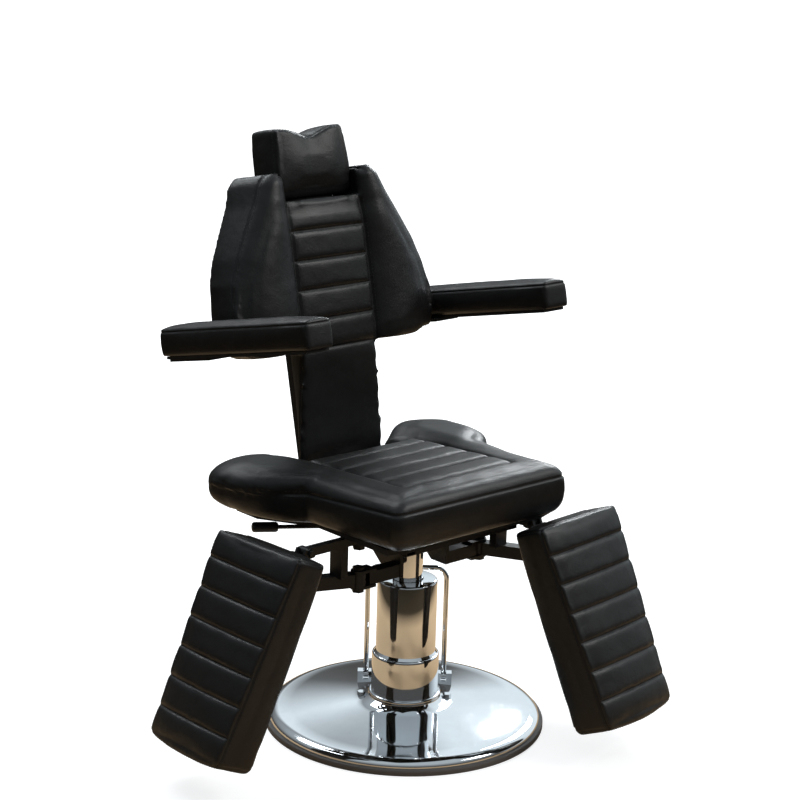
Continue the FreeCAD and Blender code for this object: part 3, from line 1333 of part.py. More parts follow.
def arm_section(y, wide_share, high_share, side):
    """Section of an arm pad across its length."""
    half = float(S.arm_width) / 2 * wide_share
    middle = side * (float(S.arm_inner) + float(S.arm_width) / 2)
    low = float(S.arm_axis) - float(S.arm_under)
    high = low + float(S.arm_height) * (arm_half_share + high_share / 2)
    low = low + float(S.arm_height) * (arm_half_share - high_share / 2) * arm_lift_share
    crown = float(S.arm_crown) * high_share
    pull = float(S.arm_crown) / 3

    def at(x, z):
        return Vector(middle + x, y, z)

    return loop([
        (at(-half + pull, low), at(half - pull, low)),
        (at(half - pull, low), at(half, (low + high) / 2), at(half - pull, high - crown)),
        (at(half - pull, high - crown), at(0, high), at(-half + pull, high - crown)),
        (at(-half + pull, high - crown), at(-half, (low + high) / 2), at(-half + pull, low)),
    ])


arm_length = float(S.arm_front) + float(S.arm_rear)
for side, word in ((-1, "left"), (1, "right")):
    pad = Part.makeLoft([
        arm_section(-float(S.arm_front) + arm_length * along, wide, high, side) for along, wide,
        high in arm_end_shares
    ], True, True)
    keep(soft("ArmPad" + word, pad), "arm_pad_" + word, back_place)
    inset = S.arm_board_inset
    near = S.arm_inner + inset
    far = S.arm_inner + S.arm_width - inset
    board_top = S.arm_axis - S.arm_under - S.soft_gap
    span = (near, far) if side > 0 else (-far, -near)
    arm_board = plain_block("ArmBoard" + word, span, (-S.arm_front + 2 * inset, S.arm_rear - 2 * inset),
                      (board_top - S.arm_board, board_top))
    keep(arm_board, "arm_board_" + word, in_back(arm_board.Placement))
    foot_high = board_top - S.arm_board
    foot_low = foot_high - S.arm_bracket
    wall_span = (bracket_inside, bracket_outside) if side > 0 else (-bracket_outside, -bracket_inside)
    foot_span = (bracket_inside, far - inset) if side > 0 else (-(far - inset), -bracket_inside)
    bracket = without(
        "ArmBracket" + word,
        joined(
            "ArmBracketBody" + word,
            rod("ArmDisc" + word, S.arm_bracket_disc, S.arm_bracket, wall_span[0], 0, S.arm_axis, ALONG_X),
            block("ArmWeb" + word, wall_span, (-S.arm_bracket_disc, S.arm_bracket_disc),
                  (foot_low, S.arm_axis)),
            block("ArmFoot" + word, foot_span, (-S.arm_bracket_front, S.arm_bracket_rear),
                  (foot_low, foot_high)),
        ),
        rod("ArmBore" + word, S.axle_radius + S.pivot_gap, S.arm_bracket + 2 * S.overrun,
            wall_span[0] - S.overrun, 0, S.arm_axis, ALONG_X),
    )
    keep(bracket, "arm_bracket_" + word, back_place)

# Leg rests: a carrier that swings on the leg pivot, and a cushion that tilts at the knee

eye_low = beam_low + S.eye_gap
eye_high = beam_high - S.eye_gap
bar_eye_low = bar_low + S.eye_gap
bar_eye_high = bar_high - S.eye_gap
strap_back = S.knee_boss + S.soft_gap
board_back = strap_back + S.strap
cushion_back = board_back + S.leg_board
knee_local = Placement(Vector(0, -S.knee_reach, bar_level), Rotation(Vector(1, 0, 0), -float(S.leg_lean)))
lean = math.radians(float(S.leg_lean))
stop_drop = (bar_level - S.beam_height) / math.cos(lean)

leg_end_shares = ((0.0, 0.965, 0.91), (0.01, 0.986, 0.965), (0.03, 0.996, 0.992), (0.07, 1.0, 1.0),
                  (0.93, 1.0, 1.0),
                  (0.97, 0.996, 0.992), (0.99, 0.986, 0.965), (1.0, 0.965, 0.91))


def leg_section(along, wide_share, deep_share, side):
    """Section of a leg cushion across its length, in the knee's frame."""
    z = -float(S.leg_drop) - float(S.leg_length) * along
    half = (float(S.leg_width) - float(S.leg_taper) * along) / 2 * wide_share
    middle = side * float(S.leg_offset)
    back_y = -float(cushion_back) - float(S.soft_gap)
    face = back_y - (float(S.leg_thick) + float(S.leg_swell) * along - float(S.leg_crown)) * deep_share
    narrow = half - float(S.leg_tuck)

    def at(x, y):
        return Vector(middle + x, y, z)

    return loop([
        (at(-narrow, back_y), at(narrow, back_y)),
        (at(narrow, back_y), at(half + float(S.leg_bulge) / 2, (back_y + face) / 2), at(half, face)),
        (at(half, face), at(0, face - float(S.leg_crown) * deep_share), at(-half, face)),
        (at(-half, face), at(-half - float(S.leg_bulge) / 2, (back_y + face) / 2), at(-narrow, back_y)),
    ])


splay_rate = math.tan(math.radians(float(S.arm_splay)))


def splayed(item, turn):
    """Turns a finished solid about the leg pivot."""
    item.Placement = Placement(Vector(0, 0, 0), turn).multiply(item.Placement)
    return item


for side, word, swing in ((-1, "left", -float(S.left_swing)), (1, "right", float(S.right_swing))):
    leg_place = Placement(Vector(side * S.leg_pivot_side, -S.leg_pivot_front, 0),
                          Rotation(Vector(0, 0, 1), swing))
    knee_place = leg_place.multiply(knee_local)
    half_beam = S.beam / 2 - S.eye_gap
    half_bar = S.bar_width / 2
    stop_reach = S.knee_reach + stop_drop * math.sin(lean) - (strap_back + S.buffer_length) / math.cos(lean)
    stop_side = side * splay_rate * stop_reach
    post_side = S.post_reach * splay_rate + half_bar
    post_span = (-half_bar, post_side) if side > 0 else (-post_side, half_bar)
    tool_half = 3 * S.beam
    stop_tool = plain_block("StopTool" + word, (-tool_half, tool_half), (-S.leg_thick - S.beam, 0),
                            (-S.leg_thick, S.leg_thick))
    stop_tool.Placement = Placement(Vector(0, -S.knee_reach, bar_level),
                                    Rotation(Vector(1, 0, 0), -float(S.leg_lean))).multiply(
        Placement(Vector(stop_side - tool_half,
                         -S.leg_thick - S.beam + float(-strap_back + S.buffer_length + S.soft_gap),
                         -stop_drop - S.leg_thick), Rotation()))
    splay = Rotation(Vector(0, 0, 1), side * float(S.arm_splay))
    arm_end = -stop_reach - 2 * S.beam
    arm_tube = splayed(tube_box("LowerArm" + word, (-half_beam, half_beam), (arm_end, -S.arm_root),
                                (eye_low, eye_high), "y", S.tube_wall), splay)
    lower = without("LowerArmCut" + word, arm_tube, stop_tool)
    end_plate = splayed(plain_block("ArmEnd" + word, (-half_beam, half_beam),
                                    (arm_end, -stop_reach + S.beam / 2), (eye_low, eye_high)), splay)
    lower_end = without("ArmEndCut" + word, end_plate, stop_tool)
    parts = [
        rod("LowerEye" + word, S.ear_radius, eye_high - eye_low, 0, 0, eye_low),
        lower,
        lower_end,
        rod("UpperEye" + word, S.bar_ear_radius, bar_eye_high - bar_eye_low, 0, 0, bar_eye_low),
        block("UpperBar" + word, (-half_bar, half_bar), (-S.knee_reach, -S.arm_root),
              (bar_eye_low, bar_eye_high)),
        block("Post" + word, post_span, (-S.post_reach - half_bar, -S.post_reach + half_bar),
              (eye_high - S.tube_wall, bar_eye_low + S.tube_wall)),
        rod("KneeBoss" + word, S.knee_boss, S.bar_width, -half_bar, -S.knee_reach, bar_level, ALONG_X),
    ]
    carrier = without(
        "Carrier" + word,
        joined("CarrierBody" + word, *parts),
        rod("LowerEyeBore" + word, pin_hole, S.beam + 2 * S.overrun, 0, 0, beam_low - S.overrun),
        rod("UpperEyeBore" + word, pin_hole, S.bar_width + 2 * S.overrun, 0, 0, bar_low - S.overrun),
        rod("KneeBore" + word, S.knee_pin + S.pivot_gap, S.bar_width + 2 * S.overrun, -half_bar - S.overrun,
            -S.knee_reach, bar_level, ALONG_X),
    )
    keep(carrier, "leg_carrier_" + word, leg_place)

    buffer = plain_rod("Buffer" + word, S.buffer_radius, S.buffer_length, stop_side,
                       -strap_back + S.soft_gap, -stop_drop, Rotation(Vector(1, 0, 0), -90))
    keep(buffer, "leg_stop_" + word, knee_place.multiply(buffer.Placement))

    half_strap = S.strap_width / 2
    strap_top = S.knee_boss
    ear_near = half_bar + S.soft_gap
    stop_half = S.buffer_radius + S.strap
    stop_end = splay_rate * stop_reach + stop_half
    stop_span = (half_strap - S.strap, stop_end) if side > 0 else (-stop_end, S.strap - half_strap)
    strap_parts = [
        block("Strap" + word, (-half_strap, half_strap), (-board_back, -strap_back),
              (-S.strap_length, -S.leg_drop)),
        block("StopPlate" + word, stop_span, (-board_back, -strap_back),
              (-stop_drop - stop_half, -stop_drop + stop_half)),
    ]
    for ear_side in (-1, 1):
        start = ear_near if ear_side > 0 else -(ear_near + S.strap)
        strap_parts.append(rod("KneeEar%s%d" % (word, ear_side), S.knee_boss, S.strap, start, 0, 0, ALONG_X))
        strap_parts.append(block("KneeWeb%s%d" % (word, ear_side), (start, start + S.strap),
                                 (-board_back, 0), (-S.leg_drop - 3 * S.strap, S.knee_boss - S.strap)))
    pin_reach = ear_near + 2 * S.strap
    strap_body = without(
        "StrapCut" + word,
        joined("StrapBody" + word, *strap_parts),
        rod("KneeEarBore" + word, S.knee_pin + S.pivot_gap, 2 * pin_reach + 2 * S.overrun,
            -pin_reach - S.overrun, 0, 0, ALONG_X),
    )
    keep(strap_body, "leg_hinge_strap_" + word, knee_place)
    knee = joined(
        "KneePinBody" + word,
        rod("KneePin" + word, S.knee_pin, 2 * pin_reach, -pin_reach, 0, 0, ALONG_X),
        hexagon("KneePinHeadA" + word, S.knee_boss - S.tube_wall, S.strap - S.soft_gap,
                -pin_reach, 0, 0, ALONG_X),
        hexagon("KneePinHeadB" + word, S.knee_boss - S.tube_wall, S.strap - S.soft_gap,
                pin_reach - S.strap + S.soft_gap, 0, 0, ALONG_X),
    )
    keep(knee, "knee_pin_" + word, knee_place)

    inset = S.leg_board_inset + S.leg_tuck
    middle = side * S.leg_offset
    board_half = (S.leg_width - S.leg_taper) / 2 - inset
    leg_board = plain_block("LegBoard" + word, (middle - board_half, middle + board_half),
                            (-cushion_back, -board_back),
                            (-S.leg_drop - S.leg_length + inset, -S.leg_drop - S.leg_board_inset))
    keep(leg_board, "leg_board_" + word, knee_place.multiply(leg_board.Placement))

    cushion = Part.makeLoft([
        leg_section(along, wide, deep, side)
        for along, wide, deep in leg_end_shares
    ], True, True)
    face = -float(cushion_back) - float(S.soft_gap) - float(S.leg_thick) + float(S.leg_crown) / 2
    reach = float(S.leg_width) / 2 + float(S.leg_bulge)
    cuts = []
    for row in range(1, int(S.leg_channels)):
        z = -float(S.leg_drop) - float(S.leg_length) * row / float(S.leg_channels)
        centre = side * float(S.leg_offset)
        front = face - float(S.leg_swell) * row / float(S.leg_channels)
        cuts.append(groove(Vector(centre - reach, front, z), Vector(centre + reach, front, z),
                           Vector(0, -1, 0),
                           float(S.channel_width), float(S.channel_depth)))
    keep(soft("LegCushion" + word, cushion.cut(cuts)), "leg_cushion_" + word, knee_place)

doc.recompute()

for item in PARTS:
    state = [flag for flag in item.State if flag in ("Invalid", "Error")]
    shape = item.Shape
    if state or shape.isNull() or not shape.isValid() or not shape.Solids:
        raise RuntimeError("%s did not build: %s" % (item.Label, item.State))
    shape.exportStep("parts/%s.step" % item.Label)
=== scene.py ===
"""Tattoo chair on a chromed foot: upholstery, finishes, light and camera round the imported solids."""

import logging
import math
from dataclasses import dataclass, field
from enum import Enum
from typing import Callable, Sequence

import bmesh
import bpy
import numpy
from mathutils import Matrix, Vector, noise


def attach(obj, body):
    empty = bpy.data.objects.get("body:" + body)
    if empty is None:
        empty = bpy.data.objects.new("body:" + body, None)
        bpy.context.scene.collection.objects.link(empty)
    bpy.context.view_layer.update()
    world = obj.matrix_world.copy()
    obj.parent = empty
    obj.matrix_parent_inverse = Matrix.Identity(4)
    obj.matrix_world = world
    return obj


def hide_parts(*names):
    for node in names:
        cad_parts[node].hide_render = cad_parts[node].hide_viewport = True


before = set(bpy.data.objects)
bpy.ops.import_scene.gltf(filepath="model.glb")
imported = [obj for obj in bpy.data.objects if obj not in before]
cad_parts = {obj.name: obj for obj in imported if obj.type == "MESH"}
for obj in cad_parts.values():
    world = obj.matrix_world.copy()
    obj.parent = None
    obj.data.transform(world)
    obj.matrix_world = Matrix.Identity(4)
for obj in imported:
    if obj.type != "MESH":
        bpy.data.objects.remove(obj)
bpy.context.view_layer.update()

logging.basicConfig(level=logging.INFO, format="%(message)s")
LOG = logging.getLogger("tattoo_chair")

Colour = tuple[float, float, float]
Piece = bpy.types.Object
Shape = bmesh.types.BMesh
Socket = bpy.types.NodeSocket
Test = Callable[[Vector, Vector], float]
Tree = bpy.types.NodeTree

UP, SIDEWAYS = Vector((0.0, 0.0, 1.0)), Vector((1.0, 0.0, 0.0))
FORWARDS, BACKWARDS = Vector((0.0, -1.0, 0.0)), Vector((0.0, 1.0, 0.0))

BACK_LEAN = math.radians(12.6)
LEG_LEAN = math.radians(23.0)
BACK_FRAME = Matrix.Translation((0.0, 0.269, 0.424)) @ Matrix.Rotation(-BACK_LEAN, 4, "X")
WORLD_FRAME = Matrix.Identity(4)

# Fullness of a channel in the seat and the back.
CHANNEL_RISE = 0.0016
# Gathers along a seam: waves to the metre, and their share of its depth.
GATHERS, GATHER_SHARE = 70.0, 0.22
# Slow and fine unevenness of a cover: waves to the metre, and height.
RIPPLES = ((16.0, 0.0009), (45.0, 0.00035))
# Stitches: distance between them, half their length, and half their thickness.
STITCH_PITCH, STITCH_HALF, STITCH_THICK = 0.0072, 0.0024, 0.00045
# Least part of a seam's strength at which its stitches show.
STITCH_SHOWS = 0.6
# Steps of the cloth's motion until it rests.
CLOTH_STEPS = 20


class Side(Enum):
    """Left or right piece of a pair, seen from the front; the value is its sign along X."""

    LEFT = -1
    RIGHT = 1

    @property
    def word(self) -> str:
        """Word used in the names of nodes and bodies."""
        return self.name.lower()

    @property
    def swing(self) -> float:
        """Angle that this side's leg rest is swung out, in radians."""
        return math.radians(-89.3 if self is Side.LEFT else 7.0)

    @property
    def knee_frame(self) -> Matrix:
        """Frame of the leg rest at its knee hinge: front along -Y, upwards along +Z."""
        pivot = Matrix.Translation((self.value * 0.171, -0.037, 0.0)) @ Matrix.Rotation(self.swing, 4, "Z")
        return pivot @ Matrix.Translation((0.0, -0.140, 0.452)) @ Matrix.Rotation(-LEG_LEAN, 4, "X")


def ease(low: float, high: float, value: float) -> float:
    """Eased ramp from 0 at low to 1 at high."""
    share = min(max((value - low) / (high - low), 0.0), 1.0)
    return share * share * (3.0 - 2.0 * share)


def rim(facing: float, low: float = 0.8, high: float = 0.95) -> float:
    """How much a place lies round a cushion's rim, from how squarely it faces out."""
    return 1.0 - ease(low, high, facing)


def bulge(share: float) -> float:
    """Round profile of a channel: 0 at its seams, 1 halfway between them."""
    return 1.0 - (2.0 * share - 1.0) ** 4


class Graph:
    """Adds and joins nodes in one node tree."""

    def __init__(self, tree: Tree) -> None:
        """Keeps the tree of a material, a world or a group."""
        self.tree = tree

    def feed(self, node: bpy.types.Node, inputs: dict) -> None:
        """Sets or joins inputs of a node.

        Args:
            node: Node to feed.
            inputs: Value or output socket for each input, by name or number.
        """
        for key, value in inputs.items():
            if isinstance(value, Socket):
                self.tree.links.new(value, node.inputs[key])
            else:
                node.inputs[key].default_value = value

    def put(self, kind: str, inputs: dict | None = None, **settings: object) -> bpy.types.Node:
        """Adds a node.

        Args:
            kind: Blender's name of the node type.
            inputs: Value or output socket for each input, by name or number.
            settings: Properties of the node itself.

        Returns:
            The new node.
        """
        node = self.tree.nodes.new(kind)
        for key, value in settings.items():
            setattr(node, key, value)
        self.feed(node, inputs or {})
        return node

    def math(self, operation: str, first: object, second: object = 0.0, clamp: bool = False) -> Socket:
        """Joins two numbers or sockets by a sum and gives its result."""
        return self.put("ShaderNodeMath", {0: first, 1: second}, operation=operation, use_clamp=clamp).outputs[0]

    def plus(self, first: object, second: object, clamp: bool = False) -> Socket:
        """Adds two numbers or sockets."""
        return self.math("ADD", first, second, clamp)

    def minus(self, first: object, second: object) -> Socket:
        """Takes the second number or socket from the first."""
        return self.math("SUBTRACT", first, second)

    def times(self, first: object, second: object) -> Socket:
        """Multiplies two numbers or sockets."""
        return self.math("MULTIPLY", first, second)

    def mix(self, share: object, *colours: object) -> Socket:
        """Mixes a share of the second of two colours or sockets into the first."""
        first, second = (colour if isinstance(colour, Socket) else (*colour, 1.0) for colour in colours)
        return self.put("ShaderNodeMix", {0: share, 6: first, 7: second}, data_type="RGBA").outputs[2]

    def ramp(self, value: object, low: float, high: float) -> Socket:
        """Stretches a value between two limits to 0 and 1."""
        return self.put("ShaderNodeMapRange", {0: value, 1: low, 2: high}, clamp=True).outputs[0]

    def noise(self, place: Socket, scale: object, detail: float, **more: float) -> Socket:
        """Adds a noise texture and gives its value."""
        return self.put("ShaderNodeTexNoise", {"Vector": place, "Scale": scale, "Detail": detail, **more}).outputs[0]


class Effect(Graph):
    """Node group that finishes share, with its sockets at hand."""

    def __init__(self, name: str, values: dict[str, float], results: Sequence[str]) -> None:
        """Makes the group.

        Args:
            name: Name of the group.
            values: Default of each number that it takes besides the place.
            results: Names of the numbers that it puts out.
        """
        super().__init__(bpy.data.node_groups.new(name, "ShaderNodeTree"))
        sockets = self.tree.interface
        sockets.new_socket("Vector", in_out="INPUT", socket_type="NodeSocketVector")
        for word, value in values.items():
            sockets.new_socket(word, in_out="INPUT", socket_type="NodeSocketFloat").default_value = value
        for word in results:
            sockets.new_socket(word, in_out="OUTPUT", socket_type="NodeSocketFloat")
        self.given = list(self.put("NodeGroupInput").outputs)
        self.out = self.put("NodeGroupOutput")


class Effects:
    """Shared effects, each built once."""

    def __init__(self) -> None:
        """Builds the effects."""
        self.grain = self._grain()
        self.handling = self._handling()
        self.dust = self._dust()

    @staticmethod
    def _grain() -> Tree:
        """Builds leather grain: small pebbles, finer pores and slow wrinkles.

        Returns:
            Group that puts out a height and a tint mask.
        """
        effect = Effect("Grain", {"Pebbles": 620.0, "Wrinkles": 38.0, "Wrinkle Share": 0.35}, ("Height", "Tint"))
        place, pebbles, wrinkles, wrinkle_share = effect.given[:4]
        pebble = effect.put("ShaderNodeTexVoronoi", {"Vector": place, "Scale": pebbles}, feature="SMOOTH_F1")
        pore = effect.noise(place, effect.times(pebbles, 2.3), 3.0)
        wrinkle = effect.noise(place, wrinkles, 4.0, Roughness=0.55, Distortion=0.6)
        folded = effect.math("ABSOLUTE", effect.minus(wrinkle, 0.5))
        soft = effect.times(effect.ramp(folded, 0.0, 0.12), wrinkle_share)
        raised = effect.minus(effect.times(pore, 0.35), effect.times(pebble.outputs[0], 0.6))
        effect.feed(effect.out, {0: effect.plus(raised, soft), 1: effect.ramp(wrinkle, 0.3, 0.7)})
        return effect.tree

    @staticmethod
    def _handling() -> Tree:
        """Builds marks of use: cloudy wiping and thin scratches.

        Returns:
            Group that puts out a cloud mask and a scratch mask.
        """
        effect = Effect("Handling", {"Cloud Scale": 9.0, "Scratch Scale": 60.0}, ("Clouds", "Scratches"))
        place, cloud_scale, scratch_scale = effect.given[:3]
        cloud = effect.noise(place, cloud_scale, 5.0, Roughness=0.6)
        stretch = effect.put("ShaderNodeMapping", {"Vector": place, "Scale": (1.0, 0.12, 0.25),
                                                   "Rotation": (0.3, 0.5, 0.9)})
        line = effect.noise(stretch.outputs[0], scratch_scale, 2.0, Distortion=0.4)
        effect.feed(effect.out, {0: effect.ramp(cloud, 0.35, 0.7), 1: effect.ramp(line, 0.68, 0.74)})
        return effect.tree

    @staticmethod
    def _dust() -> Tree:
        """Builds fine dust that settles on what faces up.

        Returns:
            Group that puts out a dust mask.
        """
        effect = Effect("Dust", {"Amount": 0.2}, ("Mask",))
        place, amount = effect.given[:2]
        normal = effect.put("ShaderNodeSeparateXYZ", {0: effect.put("ShaderNodeNewGeometry").outputs["Normal"]})
        speck = effect.noise(place, 55.0, 6.0, Roughness=0.7)
        spread = effect.times(effect.ramp(normal.outputs[2], 0.55, 1.0), effect.ramp(speck, 0.4, 0.75))
        effect.feed(effect.out, {0: effect.times(spread, amount)})
        return effect.tree


class Coat(Graph):
    """Node tree of one material, with the shared effects at hand."""

    def __init__(self, tree: Tree, effects: Effects) -> None:
        """Keeps the tree and the effects.

        Args:
            tree: Node tree of the material.
            effects: Shared effects.
        """
        super().__init__(tree)
        self.effects = effects
        self.place = self.put("ShaderNodeTexCoord").outputs["Object"]

    def use(self, effect: Tree, values: dict[int, float] | None = None) -> list[Socket]:
        """Adds a shared effect and gives its output sockets."""
        return list(self.put("ShaderNodeGroup", {0: self.place, **(values or {})}, node_tree=effect).outputs)

    def bump(self, strength: float, distance: float, height: Socket) -> Socket:
        """Turns a height into a bumpy normal."""
        return self.put("ShaderNodeBump", {"Strength": strength, "Distance": distance, "Height": height}).outputs[0]


@dataclass(frozen=True)
class Finish:
    """One surface finish; each kind builds its own material from these values.

    Attributes:
        name: Name of the material.
        slot: Material slot of the record that it stands for; not used.
        colour: Main colour, linear.
        roughness: Roughness of clean places.
        worn: Roughness of handled places.
    """

    name: str
    slot: str
    colour: Colour
    roughness: float
    worn: float

    def build(self, effects: Effects) -> bpy.types.Material:
        """Builds the material.

        Args:
            effects: Shared effects.

        Returns:
            The finished material.
        """
        material = bpy.data.materials.new(self.name)
        material.use_nodes = True
        coat = Coat(material.node_tree, effects)
        coat.feed(material.node_tree.nodes["Principled BSDF"], self.look(coat))
        return material

    def look(self, coat: Coat) -> dict[str, object]:
        """Gives a number or socket for each shader input that the finish sets."""
        raise NotImplementedError

    def handled(self, coat: Coat, clouds: Socket) -> Socket:
        """Gives the roughness, changed where hands have wiped."""
        return coat.plus(coat.times(clouds, self.worn - self.roughness), self.roughness)


@dataclass(frozen=True)
class Leather(Finish):
    """Coated black upholstery leather.

    Attributes:
        pebbles: Grain cells to the metre.
        wrinkles: Size of the slow wrinkles, to the metre.
        gloss: Strength of the mirror part.
        seam_shade: Painted shade: darker colour painted into the bottom of seams.
        dusty: Colour of dust on it.
    """

    pebbles: float = 620.0
    wrinkles: float = 30.0
    gloss: float = 0.42
    seam_shade: Colour = (0.004, 0.004, 0.0045)
    dusty: Colour = (0.16, 0.155, 0.15)

    def look(self, coat: Coat) -> dict[str, object]:
        """Builds grain, wrinkles, painted shade in the seams and handled places.

        Args:
            coat: Node tree of the material.

        Returns:
            Number or socket for each shader input.
        """
        height, tint = coat.use(coat.effects.grain, {1: self.pebbles, 2: self.wrinkles})
        clouds = coat.use(coat.effects.handling, {1: 6.0})[0]
        dust = coat.use(coat.effects.dust, {1: 0.05})[0]
        seam = coat.put("ShaderNodeAttribute", attribute_name="seam").outputs["Fac"]
        light = [channel * 1.35 + 0.0015 for channel in self.colour]
        tinted = coat.mix(coat.times(tint, 0.6), self.colour, light)
        # Painted shade: the leather's colour is darkened towards the bottom of each seam, following the seam mask.
        colour = coat.mix(coat.times(seam, 0.85), coat.mix(dust, tinted, self.dusty), self.seam_shade)
        rough = coat.plus(self.handled(coat, clouds), coat.times(seam, 0.25), True)
        return {"Base Color": colour, "Roughness": rough, "Normal": coat.bump(0.55, 0.0006, height),
                "Specular IOR Level": self.gloss}


@dataclass(frozen=True)
class Plated(Finish):
    """Polished or brushed bare metal.

    Attributes:
        scratch: How rough a scratch is.
        tarnish: Colour of cloudy places.
        dusty: Colour of dust on it.
    """

    scratch: float = 0.16
    tarnish: Colour = (0.7, 0.71, 0.73)
    dusty: Colour = (0.4, 0.39, 0.37)

    def look(self, coat: Coat) -> dict[str, object]:
        """Builds a mirror with wiping clouds, hair scratches and a little dust.

        Args:
            coat: Node tree of the material.

        Returns:
            Number or socket for each shader input.
        """
        clouds, scratches = coat.use(coat.effects.handling, {2: 140.0})
        dust = coat.use(coat.effects.dust, {1: 0.05})[0]
        clouded = coat.mix(coat.times(clouds, 0.4), self.colour, self.tarnish)
        rough = coat.plus(self.handled(coat, clouds), coat.times(scratches, self.scratch), True)
        return {"Base Color": coat.mix(dust, clouded, self.dusty), "Roughness": rough, "Metallic": 1.0}


@dataclass(frozen=True)
class Coated(Finish):
    """Paint, plastic, rubber or board.

    Attributes:
        peel: Height of the surface's texture.
        peel_scale: Texture cells to the metre.
        rubbed: Colour of rubbed places.
        rub_share: How strongly rubbed places show.
        gloss: Strength of the mirror part.
        dusty: Colour of dust on it.
    """

    peel: float = 0.0002
    peel_scale: float = 700.0
    rubbed: Colour = (0.08, 0.08, 0.08)
    rub_share: float = 0.35
    gloss: float = 0.5
    dusty: Colour = (0.2, 0.195, 0.185)

    def look(self, coat: Coat) -> dict[str, object]:
        """Builds the coat with its texture, rubbed places and dust.

        Args:
            coat: Node tree of the material.

        Returns:
            Number or socket for each shader input.
        """
        clouds, scratches = coat.use(coat.effects.handling)
        dust = coat.use(coat.effects.dust, {1: 0.12})[0]
        peel = coat.noise(coat.place, self.peel_scale, 2.0)
        rubbed = coat.mix(coat.times(scratches, self.rub_share), self.colour, self.rubbed)
        return {"Base Color": coat.mix(dust, rubbed, self.dusty), "Roughness": self.handled(coat, clouds),
                "Normal": coat.bump(0.4, self.peel, peel), "Specular IOR Level": self.gloss}


class Stock(Enum):
    """Finishes that the chair is made in."""

    LEATHER = Leather("Black upholstery leather", "leather_black", (0.0055, 0.0055, 0.0058), 0.37, 0.45)
    THREAD = Coated("Black thread", "leather_black", (0.02, 0.02, 0.021), 0.6, 0.7, rub_share=0.0)
    BOARD = Coated("Black board", "board_black", (0.014, 0.0135, 0.013), 0.62, 0.75, 0.0004, 220.0,
                   (0.05, 0.045, 0.04), 0.3, 0.35)
    PAINT = Coated("Black powder coat", "frame_black", (0.0085, 0.0085, 0.009), 0.36, 0.5, 0.00025, 900.0,
                   (0.05, 0.05, 0.05), 0.3, 0.45)
    CHROME = Plated("Polished chrome", "chrome", (0.84, 0.87, 0.9), 0.03, 0.085, 0.12)
    STEEL = Plated("Zinc plated steel", "steel", (0.55, 0.55, 0.56), 0.24, 0.36, 0.2, (0.42, 0.41, 0.4))
    RUBBER = Coated("Grey black rubber", "rubber_black", (0.12, 0.112, 0.107), 0.6, 0.75, 0.0003, 500.0,
                    (0.11, 0.1, 0.095), 0.4, 0.35)
    PLASTIC = Coated("Black plastic", "plastic_black", (0.009, 0.009, 0.0095), 0.22, 0.34, 0.0001, 500.0,
                     (0.04, 0.04, 0.04), 0.3)


class Wardrobe:
    """Builds each finish once and hands out its material."""

    def __init__(self) -> None:
        """Builds the shared node groups."""
        self.effects = Effects()
        self.made: dict[Stock, bpy.types.Material] = {}

    def material(self, stock: Stock) -> bpy.types.Material:
        """Gives a finish's material.

        Args:
            stock: Finish to use.

        Returns:
            The material.
        """
        if stock not in self.made:
            self.made[stock] = stock.value.build(self.effects)
        return self.made[stock]

    def dress_node(self, node: str, stock: Stock) -> None:
        """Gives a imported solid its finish.

        Args:
            node: Name of the solid.
            stock: Finish to use.
        """
        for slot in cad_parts[node].material_slots:
            slot.material = self.material(stock)
        LOG.info("dressed %s in %s", node, stock.value.name)

    def dress_piece(self, piece: Piece, stock: Stock, body: str) -> None:
        """Gives a new piece its finish and lets it ride on a body.

        Args:
            piece: Piece to dress.
            stock: Finish to use.
            body: Body that carries it.
        """
        piece.data.materials.clear()
        piece.data.materials.append(self.material(stock))
        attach(piece, body)


def piece_from(name: str, mesh: Shape, place: Matrix = WORLD_FRAME, smooth: bool = True) -> Piece:
    """Turns a bmesh into an object at the origin.

    Args:
        name: Name of the piece.
        mesh: Shape in its own frame; it is freed.
        place: Frame that the shape is drawn in.
        smooth: Shades the faces smoothly.

    Returns:
        The new object.
    """
    mesh.transform(place)
    data = bpy.data.meshes.new(name)
    for face in mesh.faces:
        face.smooth = smooth
    mesh.to_mesh(data)
    mesh.free()
    made = bpy.data.objects.new(name, data)
    bpy.context.scene.collection.objects.link(made)
    return made


def settle(piece: Piece) -> None:
    """Applies a piece's modifiers to its mesh.

    Args:
        piece: Object to change.
    """
    graph = bpy.context.evaluated_depsgraph_get()
    baked = bpy.data.meshes.new_from_object(piece.evaluated_get(graph))
    old = piece.data
    piece.modifiers.clear()
    piece.data = baked
    bpy.data.meshes.remove(old)


@dataclass(frozen=True)
class Seam:
    """One sewn line that lies in a plane.

    Attributes:
        point: Point on the plane, in the cushion's frame.
        across: Normal of the plane.
        reach: Half the width that the seam draws in.
        depth: How deep it draws the cover in.
        where: Test of place and normal that gives how much of the seam shows there.
        stitch_offsets: Distances from the seam where a row of stitches shows.
    """

    point: Vector
    across: Vector
    reach: float
    depth: float
    where: Test
    stitch_offsets: tuple[float, ...] = ()

    def distance(self, place: Vector) -> float:
        """Distance of a place from the seam's plane, with its sign."""
        return (place - self.point).dot(self.across)


